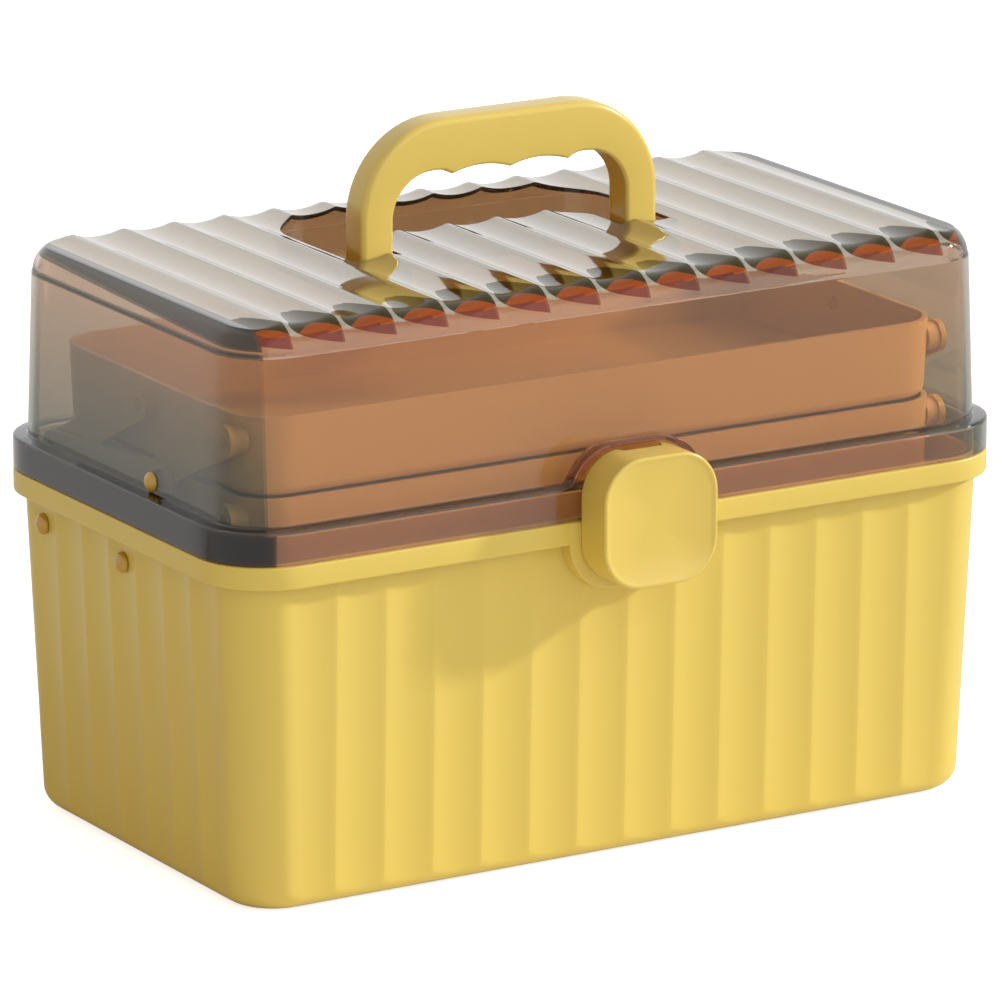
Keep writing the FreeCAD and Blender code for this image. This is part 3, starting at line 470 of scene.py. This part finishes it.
def lid_loop(half, corner, height, flute=0.0, slope=1.0, top=LID_TOP):
    """The edge of the grid as a ring of that half size, for the walls of the lid."""
    x, end = columns_of(half, corner)
    _, y = top_grid(LID_HIGH - LID_ROUND, LID_CORNER - LID_ROUND, 0)
    side = y[1:-1, -1] * end[-1] / y[-1, -1]
    ring_x = np.concatenate([x, np.full(len(side), x[-1]), x[::-1], np.full(len(side), x[0])])
    ring_y = np.concatenate([-end, side, end[::-1], side[::-1]])
    deep = lid_flute(ring_x) * flute * (np.abs(ring_x) < STRAIGHT)
    ring_y = ring_y - np.sign(ring_y) * deep * (1 - slope)
    ring_z = np.minimum(height - deep * slope, top - lid_flute(ring_x) * (flute > 0))
    return np.column_stack([ring_x, ring_y, ring_z])


def lid_wall(height, inset=0.0):
    """Half size and corner of the lid wall at one height."""
    lean = LID_LEAN * (height - SEAM) / (LID_TOP - SEAM)
    return LID_LOW - lean - inset, LID_CORNER - inset


def lid_roll(inset, turns):
    """Rings of the rounding between wall and top: fluted at the top, plain where the wall starts."""
    radius, roof = LID_ROUND - inset, LID_TOP - inset
    rings = []
    for s, c in turns:
        shrink = inset + radius * (1 - c)
        fade = min(1.0, math.asin(s) / FADE)
        rings.append(lid_loop(LID_HIGH - shrink, LID_CORNER - shrink, roof - radius * (1 - s), fade, s, roof))
    return rings


def lid_rings():
    """Rings from the edge of the inner top, down inside, under the hollow rim, and up outside."""
    rings = lid_roll(LID_WALL, rolled(15)[::-1])
    rings += [lid_loop(*lid_wall(z, LID_WALL), z) for z in (203.4, 180, 155, LID_FOOT + 0.4)]
    rings += [lid_loop(*lid_wall(LID_FOOT, inset), LID_FOOT) for inset in (LID_WALL - 0.4, 0.4)]
    rings += [lid_loop(*lid_wall(z), z) for z in (LID_FOOT + 0.4, 141)]
    rim = [(2.0, 141), (2.0, LID_FOOT + 0.3), (1.7, LID_FOOT), (0.5, LID_FOOT), (0.0, LID_FOOT + 0.5),
           (0.0, LID_RIM - 1.0)]
    rim += [(ROUND * (1 - c), LID_RIM - ROUND + ROUND * s) for s, c in rolled(5)] + [(4.9, LID_RIM)]
    rings += [lid_loop(RIM - inset, RIM_CORNER - inset, z) for inset, z in rim]
    rings += [lid_loop(*lid_wall(z), z) for z in (143.4, 155, 180, 203.4, LID_TOP - LID_ROUND)]
    return rings + lid_roll(0.0, rolled(15)[1:])


def make_lid():
    """The lid shell: outer top, inner top and the rings between their edges."""
    edge, corner = LID_HIGH - LID_ROUND, LID_CORNER - LID_ROUND
    sheets = [lid_top_skin(edge, corner, inset, lambda x: LID_TOP - lid_flute(x) - inset,
                           LID_TOP - RECESS_DEEP - inset) for inset in (0.0, LID_WALL)]
    return sheets + [open_sleeve(np.array(lid_rings()))]


# %% [markdown]
# Round the latch the lid's rim rises in an arch. It is a section carried along a path, like the
# handle: an S-curve leads up from the rim, and a long bend runs over the latch.
# %% Latch arch and fittings
ARCH_FOOT, ARCH_INSIDE, ARCH_Y, ARCH_THICK = 31.17, 24.7, 91.3, 2.9
SWEEP, SWEEP_Z = 5.0, 148.0
BOW_OUT, BOW_OUT_AT = 18.0, (10.0, 139.0)
BOW_IN, BOW_IN_AT = 16.8, (7.9, 139.3)


def around_spot(spot, radius, a):
    """A place on a circle round a spot."""
    return spot[0] + radius * math.cos(a), spot[1] + radius * math.sin(a)


def seat_path():
    """Outer and inner edge of the arch that rises from the lid rim round the latch, from left to right."""
    rows = [((ARCH_FOOT, z), (ARCH_INSIDE, z)) for z in (LID_RIM - 0.5, LID_RIM)]
    for a in np.radians(np.linspace(270, 206, 8))[1:]:
        spot = around_spot((ARCH_FOOT, SWEEP_Z), SWEEP, a)
        rows.append((spot, (ARCH_INSIDE, spot[1])))
    for a in np.radians(np.linspace(24, 90, 14))[1:]:
        rows.append((around_spot(BOW_OUT_AT, BOW_OUT, a), around_spot(BOW_IN_AT, BOW_IN, a)))
    left = [((-outer[0], outer[1]), (-inner[0], inner[1])) for outer, inner in rows]
    return left + rows[::-1]


def lid_fittings():
    """The arch, the lugs that hold the latch pin, and the lid's hinge knuckles."""
    arch = np.array([carried(outer, inner, ARCH_THICK, (0.2, 0.4)) for outer, inner in seat_path()])
    arch[..., 1] -= ARCH_Y
    parts = [closed_skin(arch)]
    for side in (-1, 1):
        near, far = sorted((side * 4.4, side * 7.8))
        parts.append(drum(near, far, LATCH_PIN, LATCH_EYE, 0.3))
        parts.append(brick((near, LATCH_PIN[0], 146.3), (far, -88, 148.0), 0.3))
        parts += knuckle(side * HINGE_MIDDLE, (92.5, SEAM + 0.4), LID_RIM - 0.2)
    return parts


lid_shell = build("lid_shell_moulded", make_lid() + lid_fittings(), crease=26)
print("lid faces:", len(lid_shell.data.polygons))

# %% [markdown]
# The rivets have glossy domed heads. Each one is a profile turned about its own axis, from the middle
# of the dome, round the head's edge, to the end of its shank inside the wall.
# %% Rivets
HEAD, DOME, SHANK = 3.9, 2.2, 2.45
LID_END_WALL, RIVET_SIDES = 159.2, 40


def rivet(name, side, spot, inner):
    """A domed rivet on one end of the box, from the inner face of its last link to its head."""
    wall = wall_half(spot[1])[0] if spot[1] < SEAM else LID_END_WALL
    rows = [(wall - 0.3 + (DOME + 0.3) * math.cos(a), HEAD * math.sin(a))
            for a in np.linspace(0.08, np.pi / 2, 10)]
    rows += [(wall - 0.6, HEAD), (wall - 0.6, SHANK), (inner + 0.3, SHANK), (inner, SHANK - 0.3)]
    turn = np.linspace(0, 2 * np.pi, RIVET_SIDES, endpoint=False)
    rings = [np.column_stack([np.full(RIVET_SIDES, side * x), spot[0] + r * np.cos(turn),
                              spot[1] + r * np.sin(turn)]) for x, r in rows]
    return build(name, [closed_skin(rings)], crease=40)


RIVETS = {"base_rear_rivet": ARM_PIVOTS[0], "base_front_rivet": ARM_PIVOTS[1],
          "lid_link_rivet": (-22.0, 147.0)}
rivets = {}
for label, spot in RIVETS.items():
    for word, side in (("left", -1), ("right", 1)):
        node = f"{label}_{word}"
        low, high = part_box(node)
        inner = min(abs(low[0]), abs(high[0])) / MM
        rivets[node] = rivet(node + "_domed", side, spot, inner)

# %% [markdown]
# Every piece rides on its body, and stands for the solids that it was drawn over.
# %% Bodies
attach(base_shell, "base")
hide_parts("base_shell")
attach(handle, "handle")
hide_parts("handle")
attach(latch, "latch")
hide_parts("latch")
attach(lid_shell, "lid")
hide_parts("lid_shell")
for node, piece in rivets.items():
    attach(piece, "lid" if node.startswith("lid") else "base")
    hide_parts(node)

# %% [markdown]
# Shaders are trees of small nodes. These helpers keep them readable: one makes a group, one makes a
# maths node, one mixes two colours, and one splits a place into its x, y and z. Masks are worked out
# from the piece's own coordinates, in metres, so they ride along when the piece moves.
# %% Shader helpers


def group_with(name, inputs, outputs):
    """A shader node group with its sockets, and its input and output nodes."""
    tree = bpy.data.node_groups.new(name, "ShaderNodeTree")
    for label, kind, value in inputs:
        tree.interface.new_socket(label, in_out="INPUT", socket_type=kind).default_value = value
    for label, kind in outputs:
        tree.interface.new_socket(label, in_out="OUTPUT", socket_type=kind)
    return tree, tree.nodes.new("NodeGroupInput"), tree.nodes.new("NodeGroupOutput")


def calc(tree, operation, first, second=None, third=None):
    """A maths node on sockets or numbers; it returns its output socket."""
    node = tree.nodes.new("ShaderNodeMath")
    node.operation = operation
    for index, value in enumerate((first, second, third)):
        if isinstance(value, (int, float)):
            node.inputs[index].default_value = value
        elif value is not None:
            tree.links.new(value, node.inputs[index])
    return node.outputs[0]


def limited(tree, value):
    """A value kept between 0 and 1."""
    return calc(tree, "MAXIMUM", calc(tree, "MINIMUM", value, 1.0), 0.0)


def within(tree, value, low, high):
    """1 where a value lies between two numbers."""
    return calc(tree, "COMPARE", value, (low + high) / 2, (high - low) / 2)


def blend_colour(tree, mask, first, second):
    """A colour that goes from the first to the second as a mask goes from 0 to 1."""
    node = tree.nodes.new("ShaderNodeMix")
    node.data_type = "RGBA"
    tree.links.new(mask, node.inputs["Factor"])
    for socket, value in ((node.inputs[6], first), (node.inputs[7], second)):
        if isinstance(value, tuple):
            socket.default_value = (*value, 1)
        else:
            tree.links.new(value, socket)
    return node.outputs[2]


def place_of(tree, output="Object"):
    """x, y and z of the shaded place."""
    coordinates = tree.nodes.new("ShaderNodeTexCoord")
    split = tree.nodes.new("ShaderNodeSeparateXYZ")
    tree.links.new(coordinates.outputs[output], split.inputs[0])
    return tuple(split.outputs[axis] for axis in "XYZ")


def speckle(tree, scale):
    """A noise over the piece's own coordinates."""
    coordinates = tree.nodes.new("ShaderNodeTexCoord")
    noise = tree.nodes.new("ShaderNodeTexNoise")
    noise.inputs["Scale"].default_value = scale
    tree.links.new(coordinates.outputs["Object"], noise.inputs["Vector"])
    return noise.outputs["Fac"]


def fresh_material(name):
    """A new material with its tree and its principled shader."""
    material = bpy.data.materials.new(name)
    material.use_nodes = True
    return material, material.node_tree, material.node_tree.nodes["Principled BSDF"]


# %% [markdown]
# The plastics share one effect: a moulded skin, whose colour drifts a little, whose gloss varies and
# whose surface waves very faintly. The group puts out plain values, and each material keeps its own
# shader, so the same group serves the shells, the trays, the arms and the rivets. A second group
# marks the window and the outer sides of the handle, where a deeper orange is painted in as shade.
# %% Moulded plastics
BROAD, FINE, FINE_GLOSS, WAVE_HEIGHT = 14, 260, 0.06, 0.0004
# Limits of the mask where shade is painted on the handle, in metres.
GRIP_SIDE, GRIP_UNDER, GRIP_OUTER, GRIP_FACE, GRIP_EDGE = 0.0506, 0.2448, 0.0624, 0.0058, 1400.0


def moulded_skin():
    """Colour, roughness and normal of a moulded surface, from its own coordinates."""
    tree, given, made = group_with(
        "moulded_skin",
        [("Colour", "NodeSocketColor", (0.8, 0.8, 0.8, 1)), ("Drift", "NodeSocketFloat", 0.04),
         ("Roughness", "NodeSocketFloat", 0.3), ("Waves", "NodeSocketFloat", 0.05)],
        [("Colour", "NodeSocketColor"), ("Roughness", "NodeSocketFloat"), ("Normal", "NodeSocketVector")])
    nodes, links = tree.nodes, tree.links
    broad, fine = speckle(tree, BROAD), speckle(tree, FINE)
    tone = nodes.new("ShaderNodeVectorMath")
    tone.operation = "SCALE"
    lift = calc(tree, "MULTIPLY_ADD", calc(tree, "SUBTRACT", broad, 0.5), given.outputs["Drift"], 1.0)
    links.new(given.outputs["Colour"], tone.inputs[0])
    links.new(lift, tone.inputs["Scale"])
    bump = nodes.new("ShaderNodeBump")
    bump.inputs["Distance"].default_value = WAVE_HEIGHT
    links.new(given.outputs["Waves"], bump.inputs["Strength"])
    links.new(broad, bump.inputs["Height"])
    links.new(tone.outputs[0], made.inputs["Colour"])
    gloss = calc(tree, "MULTIPLY_ADD", fine, FINE_GLOSS, given.outputs["Roughness"])
    links.new(gloss, made.inputs["Roughness"])
    links.new(bump.outputs[0], made.inputs["Normal"])
    return tree


def grip_shade():
    """A mask of painted shade: the handle's window and its outer sides, but not its front and back."""
    tree, _, made = group_with("grip_shade", [], [("Mask", "NodeSocketFloat")])
    x, y, z = place_of(tree)
    across = calc(tree, "ABSOLUTE", x)
    under = calc(tree, "SUBTRACT", GRIP_UNDER, z)
    window = calc(tree, "MINIMUM", calc(tree, "SUBTRACT", GRIP_SIDE, across), under)
    sides = calc(tree, "MAXIMUM", window, calc(tree, "SUBTRACT", across, GRIP_OUTER))
    faces = calc(tree, "SUBTRACT", GRIP_FACE, calc(tree, "ABSOLUTE", y))
    near = calc(tree, "MULTIPLY", calc(tree, "MINIMUM", sides, faces), GRIP_EDGE)
    tree.links.new(limited(tree, near), made.inputs["Mask"])
    return tree


SKIN_GROUP, PAINTED_GRIP_GROUP = moulded_skin(), grip_shade()


def plastic(name, colour, roughness, subsurface=0.0, coat=0.0, deep=None):
    """A moulded plastic: the shared skin on a principled surface, with a deeper colour painted as shade on a
    grip.
    """
    material, tree, shader = fresh_material(name)
    skin = tree.nodes.new("ShaderNodeGroup")
    skin.node_tree = SKIN_GROUP
    skin.inputs["Colour"].default_value = (*colour, 1)
    skin.inputs["Roughness"].default_value = roughness
    # deep is a darker colour painted as shade where the grip mask falls.
    if deep:
        shade = tree.nodes.new("ShaderNodeGroup")
        shade.node_tree = PAINTED_GRIP_GROUP
        tree.links.new(blend_colour(tree, shade.outputs["Mask"], colour, deep), skin.inputs["Colour"])
    tree.links.new(skin.outputs["Colour"], shader.inputs["Base Color"])
    tree.links.new(skin.outputs["Roughness"], shader.inputs["Roughness"])
    tree.links.new(skin.outputs["Normal"], shader.inputs["Normal"])
    shader.inputs["IOR"].default_value = 1.5
    shader.inputs["Coat Weight"].default_value = coat
    if subsurface:
        shader.inputs["Subsurface Weight"].default_value = subsurface
        shader.inputs["Subsurface Radius"].default_value = (0.004, 0.002, 0.0006)
        shader.inputs["Subsurface Scale"].default_value = 1.0
    return material


GLOSSY_YELLOW = (0.785, 0.575, 0.112)
YELLOW = plastic("shell_yellow", (0.785, 0.585, 0.115), 0.30, 0.05)
LATCH_YELLOW = plastic("latch_yellow", GLOSSY_YELLOW, 0.2, 0.05, 0.2)
# The handle's deeper orange is painted shade in its window and on its outer sides.
HANDLE_YELLOW = plastic("handle_yellow", GLOSSY_YELLOW, 0.22, 0.05, 0.2, (0.66, 0.36, 0.035))
TRAY = plastic("tray_yellow", (0.77, 0.52, 0.215), 0.3)
ARM = plastic("arm_yellow", (0.74, 0.50, 0.16), 0.32)
AMBER = plastic("rivet_amber", (0.62, 0.36, 0.03), 0.1, 0.1, 0.5)

# %% [markdown]
# The lid is clear plastic tinted with smoke. Where it bends, the eye looks through much more of it,
# and real lids turn dark there; here that dark is painted into the lid's colour as painted shade: in
# petals where a ridge rolls over the front edge, with their lower part painted the orange of the tray
# seen behind, along both ends and darker towards their bottom, round the rim and over its left end,
# in the arch and on the recess walls. One group draws these painted places as masks. Lamps shine
# through the lid as a tinted shadow, which a plain refracting shader would block.
# %% Smoky lid
END_X, FRONT_Y = 0.1475, -0.06
PETAL_LEAN, PETAL_RISE, PETAL_TOP, PETAL_SWELL, PETAL_FALL = 0.19, 0.82, 0.85, 0.32, -0.65
PETAL_TURN, PETAL_CURVE, PAINTED_TRAY_BELOW = 2.75, 0.42, 0.36
FALL_FROM, FALL_RATE = 0.225, 12.0
RIM_Z, ARCH_FRONT, SHEEN_DROP, SHEEN_FACING = 0.1433, -0.0895, 4.5, 0.55
# Colours of the shade painted on the lid, and the tray's orange painted into the petals.
PAINTED_SHADES = {"Recess": (0.50, 0.34, 0.20), "Fall": (0.28, 0.33, 0.29), "Petal": (0.06, 0.045, 0.010),
         "PaintedTray": (0.42, 0.09, 0.008), "End": (0.06, 0.05, 0.02), "Rim": (0.07, 0.05, 0.04),
         "Arch": (0.30, 0.10, 0.04)}


def petal_masks(tree, place, rise):
    """Masks of the painted petal shade and its lower part painted the tray's orange, one on each front ridge.
    """
    x, y, _ = place
    back = calc(tree, "MULTIPLY_ADD", y, PETAL_LEAN / (LID_ROUND * MM), PETAL_LEAN * LID_HIGH[1] / LID_ROUND)
    around = calc(tree, "MULTIPLY_ADD", rise, PETAL_RISE, back)
    phase = calc(tree, "FRACT", calc(tree, "MULTIPLY_ADD", x, 1 / (LID_PITCH * MM), 0.5))
    share = calc(tree, "MAXIMUM", calc(tree, "MULTIPLY_ADD", phase, 1.1, -0.1), 0.0)
    swell = calc(tree, "SINE", calc(tree, "MULTIPLY", share, PETAL_TURN))
    upper = calc(tree, "MULTIPLY_ADD", swell, PETAL_SWELL, PETAL_TOP)
    lower = calc(tree, "MULTIPLY_ADD", calc(tree, "POWER", share, PETAL_CURVE), PETAL_FALL, PETAL_TOP)
    below, above = calc(tree, "LESS_THAN", around, upper), calc(tree, "GREATER_THAN", around, lower)
    leaf = calc(tree, "MULTIPLY", below, above)
    middle = calc(tree, "LESS_THAN", calc(tree, "ABSOLUTE", x), END_X)
    there = calc(tree, "MULTIPLY", calc(tree, "LESS_THAN", y, FRONT_Y), middle)
    petal = calc(tree, "MULTIPLY", leaf, there)
    # The lower part of each petal is painted the orange of the tray seen behind the glass.
    painted_tray = calc(tree, "LESS_THAN", around, calc(tree, "SUBTRACT", upper, PAINTED_TRAY_BELOW))
    return petal, calc(tree, "MULTIPLY", painted_tray, petal)


def edge_tint():
    """Masks of the places where shade is painted on the lid."""
    tree, _, made = group_with("edge_tint", [], [(label, "NodeSocketFloat") for label in PAINTED_SHADES])
    x, y, z = place_of(tree)
    rise = calc(tree, "MULTIPLY_ADD", z, 1 / (LID_ROUND * MM), -(LID_TOP - LID_ROUND) / LID_ROUND)
    petal, painted_tray = petal_masks(tree, (x, y, z), rise)
    # Painted shade: a dark band along the roll of both ends, and darker towards the bottom of both ends.
    end = calc(tree, "GREATER_THAN", calc(tree, "ABSOLUTE", x), END_X)
    band = calc(tree, "GREATER_THAN", rise, calc(tree, "MULTIPLY_ADD", y, 2.6, 0.42))
    line = calc(tree, "COMPARE", rise, 0.03, 0.07)
    rolled_end = calc(tree, "MULTIPLY", end, calc(tree, "MAXIMUM", band, line))
    low = calc(tree, "MULTIPLY", calc(tree, "SUBTRACT", FALL_FROM, z), FALL_RATE)
    fall = calc(tree, "MULTIPLY", end, limited(tree, low))
    # Painted shade on the recess walls, round the rim and over its left end, and in the arch.
    inside = calc(tree, "MULTIPLY", within(tree, y, -0.01, 0.0696), within(tree, x, -0.0703, 0.0703))
    sunk = calc(tree, "MULTIPLY", within(tree, z, 0.1962, 0.2128), inside)
    left_rim = calc(tree, "MULTIPLY", calc(tree, "LESS_THAN", z, RIM_Z), calc(tree, "LESS_THAN", x, -END_X))
    rim = calc(tree, "MAXIMUM", left_rim, within(tree, z, 0.1421, RIM_Z))
    proud = calc(tree, "LESS_THAN", y, ARCH_FRONT)
    arch = calc(tree, "MULTIPLY", proud, calc(tree, "GREATER_THAN", z, RIM_Z))
    masks = {"Petal": petal, "PaintedTray": painted_tray, "End": rolled_end, "Fall": fall, "Recess": sunk, "Rim": rim,
             "Arch": arch}
    for label, value in masks.items():
        tree.links.new(value, made.inputs[label])
    return tree


PAINTED_EDGE_SHADE = edge_tint()


def smoky_glass(name, tint, metal, rough):
    """Clear tinted plastic: it refracts, and lets the lamps' light through as tinted shadow."""
    material, tree, shader = fresh_material(name)
    nodes, links = tree.nodes, tree.links
    masks = nodes.new("ShaderNodeGroup")
    masks.node_tree = PAINTED_EDGE_SHADE
    # Each mask blends the smoke tint towards its colour of painted shade.
    tone = tint
    for label, dark in PAINTED_SHADES.items():
        tone = blend_colour(tree, masks.outputs[label], tone, dark)
    links.new(tone, shader.inputs["Base Color"])
    shader.inputs["Metallic"].default_value = metal
    shader.inputs["Roughness"].default_value = rough
    shader.inputs["IOR"].default_value = 1.45
    shader.inputs["Transmission Weight"].default_value = 0.98
    links.new(calc(tree, "MULTIPLY_ADD", masks.outputs["Petal"], -0.5, 0.5), shader.inputs["Coat Weight"])
    clear = nodes.new("ShaderNodeBsdfTransparent")
    clear.inputs["Color"].default_value = (0.80, 0.66, 0.50, 1)
    ray = nodes.new("ShaderNodeLightPath")
    mix = nodes.new("ShaderNodeMixShader")
    links.new(ray.outputs["Is Shadow Ray"], mix.inputs["Fac"])
    links.new(shader.outputs[0], mix.inputs[1])
    links.new(clear.outputs[0], mix.inputs[2])
    links.new(mix.outputs[0], nodes["Material Output"].inputs["Surface"])
    return material


SMOKY = smoky_glass("lid_smoky", (0.78, 0.62, 0.49), 0.0, 0.03)
SHEEN = smoky_glass("lid_top_sheen", (0.50, 0.45, 0.365), 0.6, 0.06)

# %% [markdown]
# The new pieces get their materials. Solids of the imported model that stay in view, such as the trays,
# the arms and the pins, only get better materials. The top of the lid takes a second, more mirror-like
# one: from this low angle it shows mostly the bright room.
# %% Painting


def steel():
    """Drawn steel: a metal whose gloss varies in fine specks."""
    material, tree, shader = fresh_material("pin_steel")
    shader.inputs["Metallic"].default_value = 1.0
    shader.inputs["Base Color"].default_value = (0.56, 0.55, 0.53, 1)
    tree.links.new(calc(tree, "MULTIPLY_ADD", speckle(tree, 900), 0.2, 0.22), shader.inputs["Roughness"])
    return material


def paint(item, material):
    """Gives a whole object one material."""
    item.data.materials.clear()
    item.data.materials.append(material)


paint(base_shell, YELLOW)
paint(handle, HANDLE_YELLOW)
paint(latch, LATCH_YELLOW)
paint(lid_shell, SMOKY)
lid_shell.data.materials.append(SHEEN)
for face in lid_shell.data.polygons:
    high = face.center.z > (LID_TOP - SHEEN_DROP) * MM and face.normal.z > SHEEN_FACING
    face.material_index = 1 if high and abs(face.center.x) < END_X else 0
for piece in rivets.values():
    paint(piece, AMBER)
STEEL = steel()
FINISHES = {"lower_tray": TRAY, "upper_tray": TRAY,
            "lower_tray_pins": AMBER, "upper_tray_pins": AMBER, "latch_pin": STEEL}
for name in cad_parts:
    if "arm" in name or name.startswith(("lid_link_l", "lid_link_r")):
        FINISHES.setdefault(name, ARM)
    if "hinge_pin" in name or "handle_pin" in name:
        FINISHES.setdefault(name, STEEL)
for name, material in FINISHES.items():
    paint(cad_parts[name], material)

# %% [markdown]
# The stage is a white floor that glows enough to look like paper and still takes the shadow. A strong
# sun from the right draws the shadows, and a broad one from the front fills them. The camera and the
# mirrors see the world as pure white; as a lamp it is dimmer, and warmer on the left.
# %% Stage, light and camera
FLOOR_GLOW, LEFT_RATE, LEFT_WARM = 0.75, -1.3, (0.86, 0.70, 0.50)


def white_floor():
    """A floor that takes the box's shadow: bright to the eye, plain to every other ray."""
    bpy.ops.mesh.primitive_plane_add(size=9.0, location=(0, 0, -0.0004))
    floor = bpy.context.object
    floor.name = "stage_floor"
    material, tree, shader = fresh_material("stage_white")
    shader.inputs["Base Color"].default_value = (0.9, 0.9, 0.9, 1)
    shader.inputs["Roughness"].default_value = 0.9
    shader.inputs["Specular IOR Level"].default_value = 0.0
    shader.inputs["Emission Color"].default_value = (1, 1, 1, 1)
    ray = tree.nodes.new("ShaderNodeLightPath")
    glow = calc(tree, "MULTIPLY", ray.outputs["Is Camera Ray"], FLOOR_GLOW)
    tree.links.new(glow, shader.inputs["Emission Strength"])
    floor.data.materials.append(material)


def pale_world(eye, fill):
    """White to the camera and mirrors; a softer fill that is dimmer and warmer from the left."""
    world = bpy.data.worlds.new("pale_world")
    bpy.context.scene.world = world
    world.use_nodes = True
    tree = world.node_tree
    background = tree.nodes["Background"]
    left = limited(tree, calc(tree, "MULTIPLY", place_of(tree, "Generated")[0], LEFT_RATE))
    ray = tree.nodes.new("ShaderNodeLightPath")
    seen = calc(tree, "MAXIMUM", ray.outputs["Is Camera Ray"], ray.outputs["Is Glossy Ray"])
    tree.links.new(calc(tree, "MULTIPLY_ADD", seen, eye - fill, fill), background.inputs["Strength"])
    warmth = calc(tree, "MULTIPLY", left, calc(tree, "SUBTRACT", 1.0, seen))
    tree.links.new(blend_colour(tree, warmth, (1.0, 1.0, 1.0), LEFT_WARM), background.inputs["Color"])


def sun(name, towards, strength, spread):
    """A sun lamp shining from a direction."""
    lamp = bpy.data.lights.new(name, "SUN")
    lamp.energy = strength
    lamp.angle = math.radians(spread)
    light = bpy.data.objects.new(name, lamp)
    light.rotation_euler = Vector(towards).to_track_quat("Z", "Y").to_euler()
    bpy.context.scene.collection.objects.link(light)


def photo_camera(turn, rise, lens, distance, target):
    """The camera that the picture was taken with, looking at a target from an angle."""
    lens_data = bpy.data.cameras.new("photo_camera")
    lens_data.lens = lens
    lens_data.sensor_width = 36
    lens_data.clip_end = 20
    camera = bpy.data.objects.new("photo_camera", lens_data)
    a, e = math.radians(turn), math.radians(rise)
    back = Vector((math.sin(a) * math.cos(e), -math.cos(a) * math.cos(e), math.sin(e)))
    camera.location = Vector(target) + back * distance
    camera.rotation_euler = back.to_track_quat("Z", "Y").to_euler()
    bpy.context.scene.collection.objects.link(camera)
    bpy.context.scene.camera = camera


white_floor()
pale_world(1.0, 0.48)
sun("key_sun", (0.857, -0.311, 0.405), 2.0, 4)
sun("soft_front", (0.25, -1.0, 0.45), 0.85, 75)
photo_camera(-31.04, 15.19, 287.4, 2.956, (-0.00046, 0.0, 0.11278))
bpy.context.scene.view_settings.view_transform = "Standard"
bpy.context.scene.cycles.transmission_bounces = 16
bpy.context.scene.cycles.max_bounces = 20
bpy.context.scene.cycles.transparent_max_bounces = 16
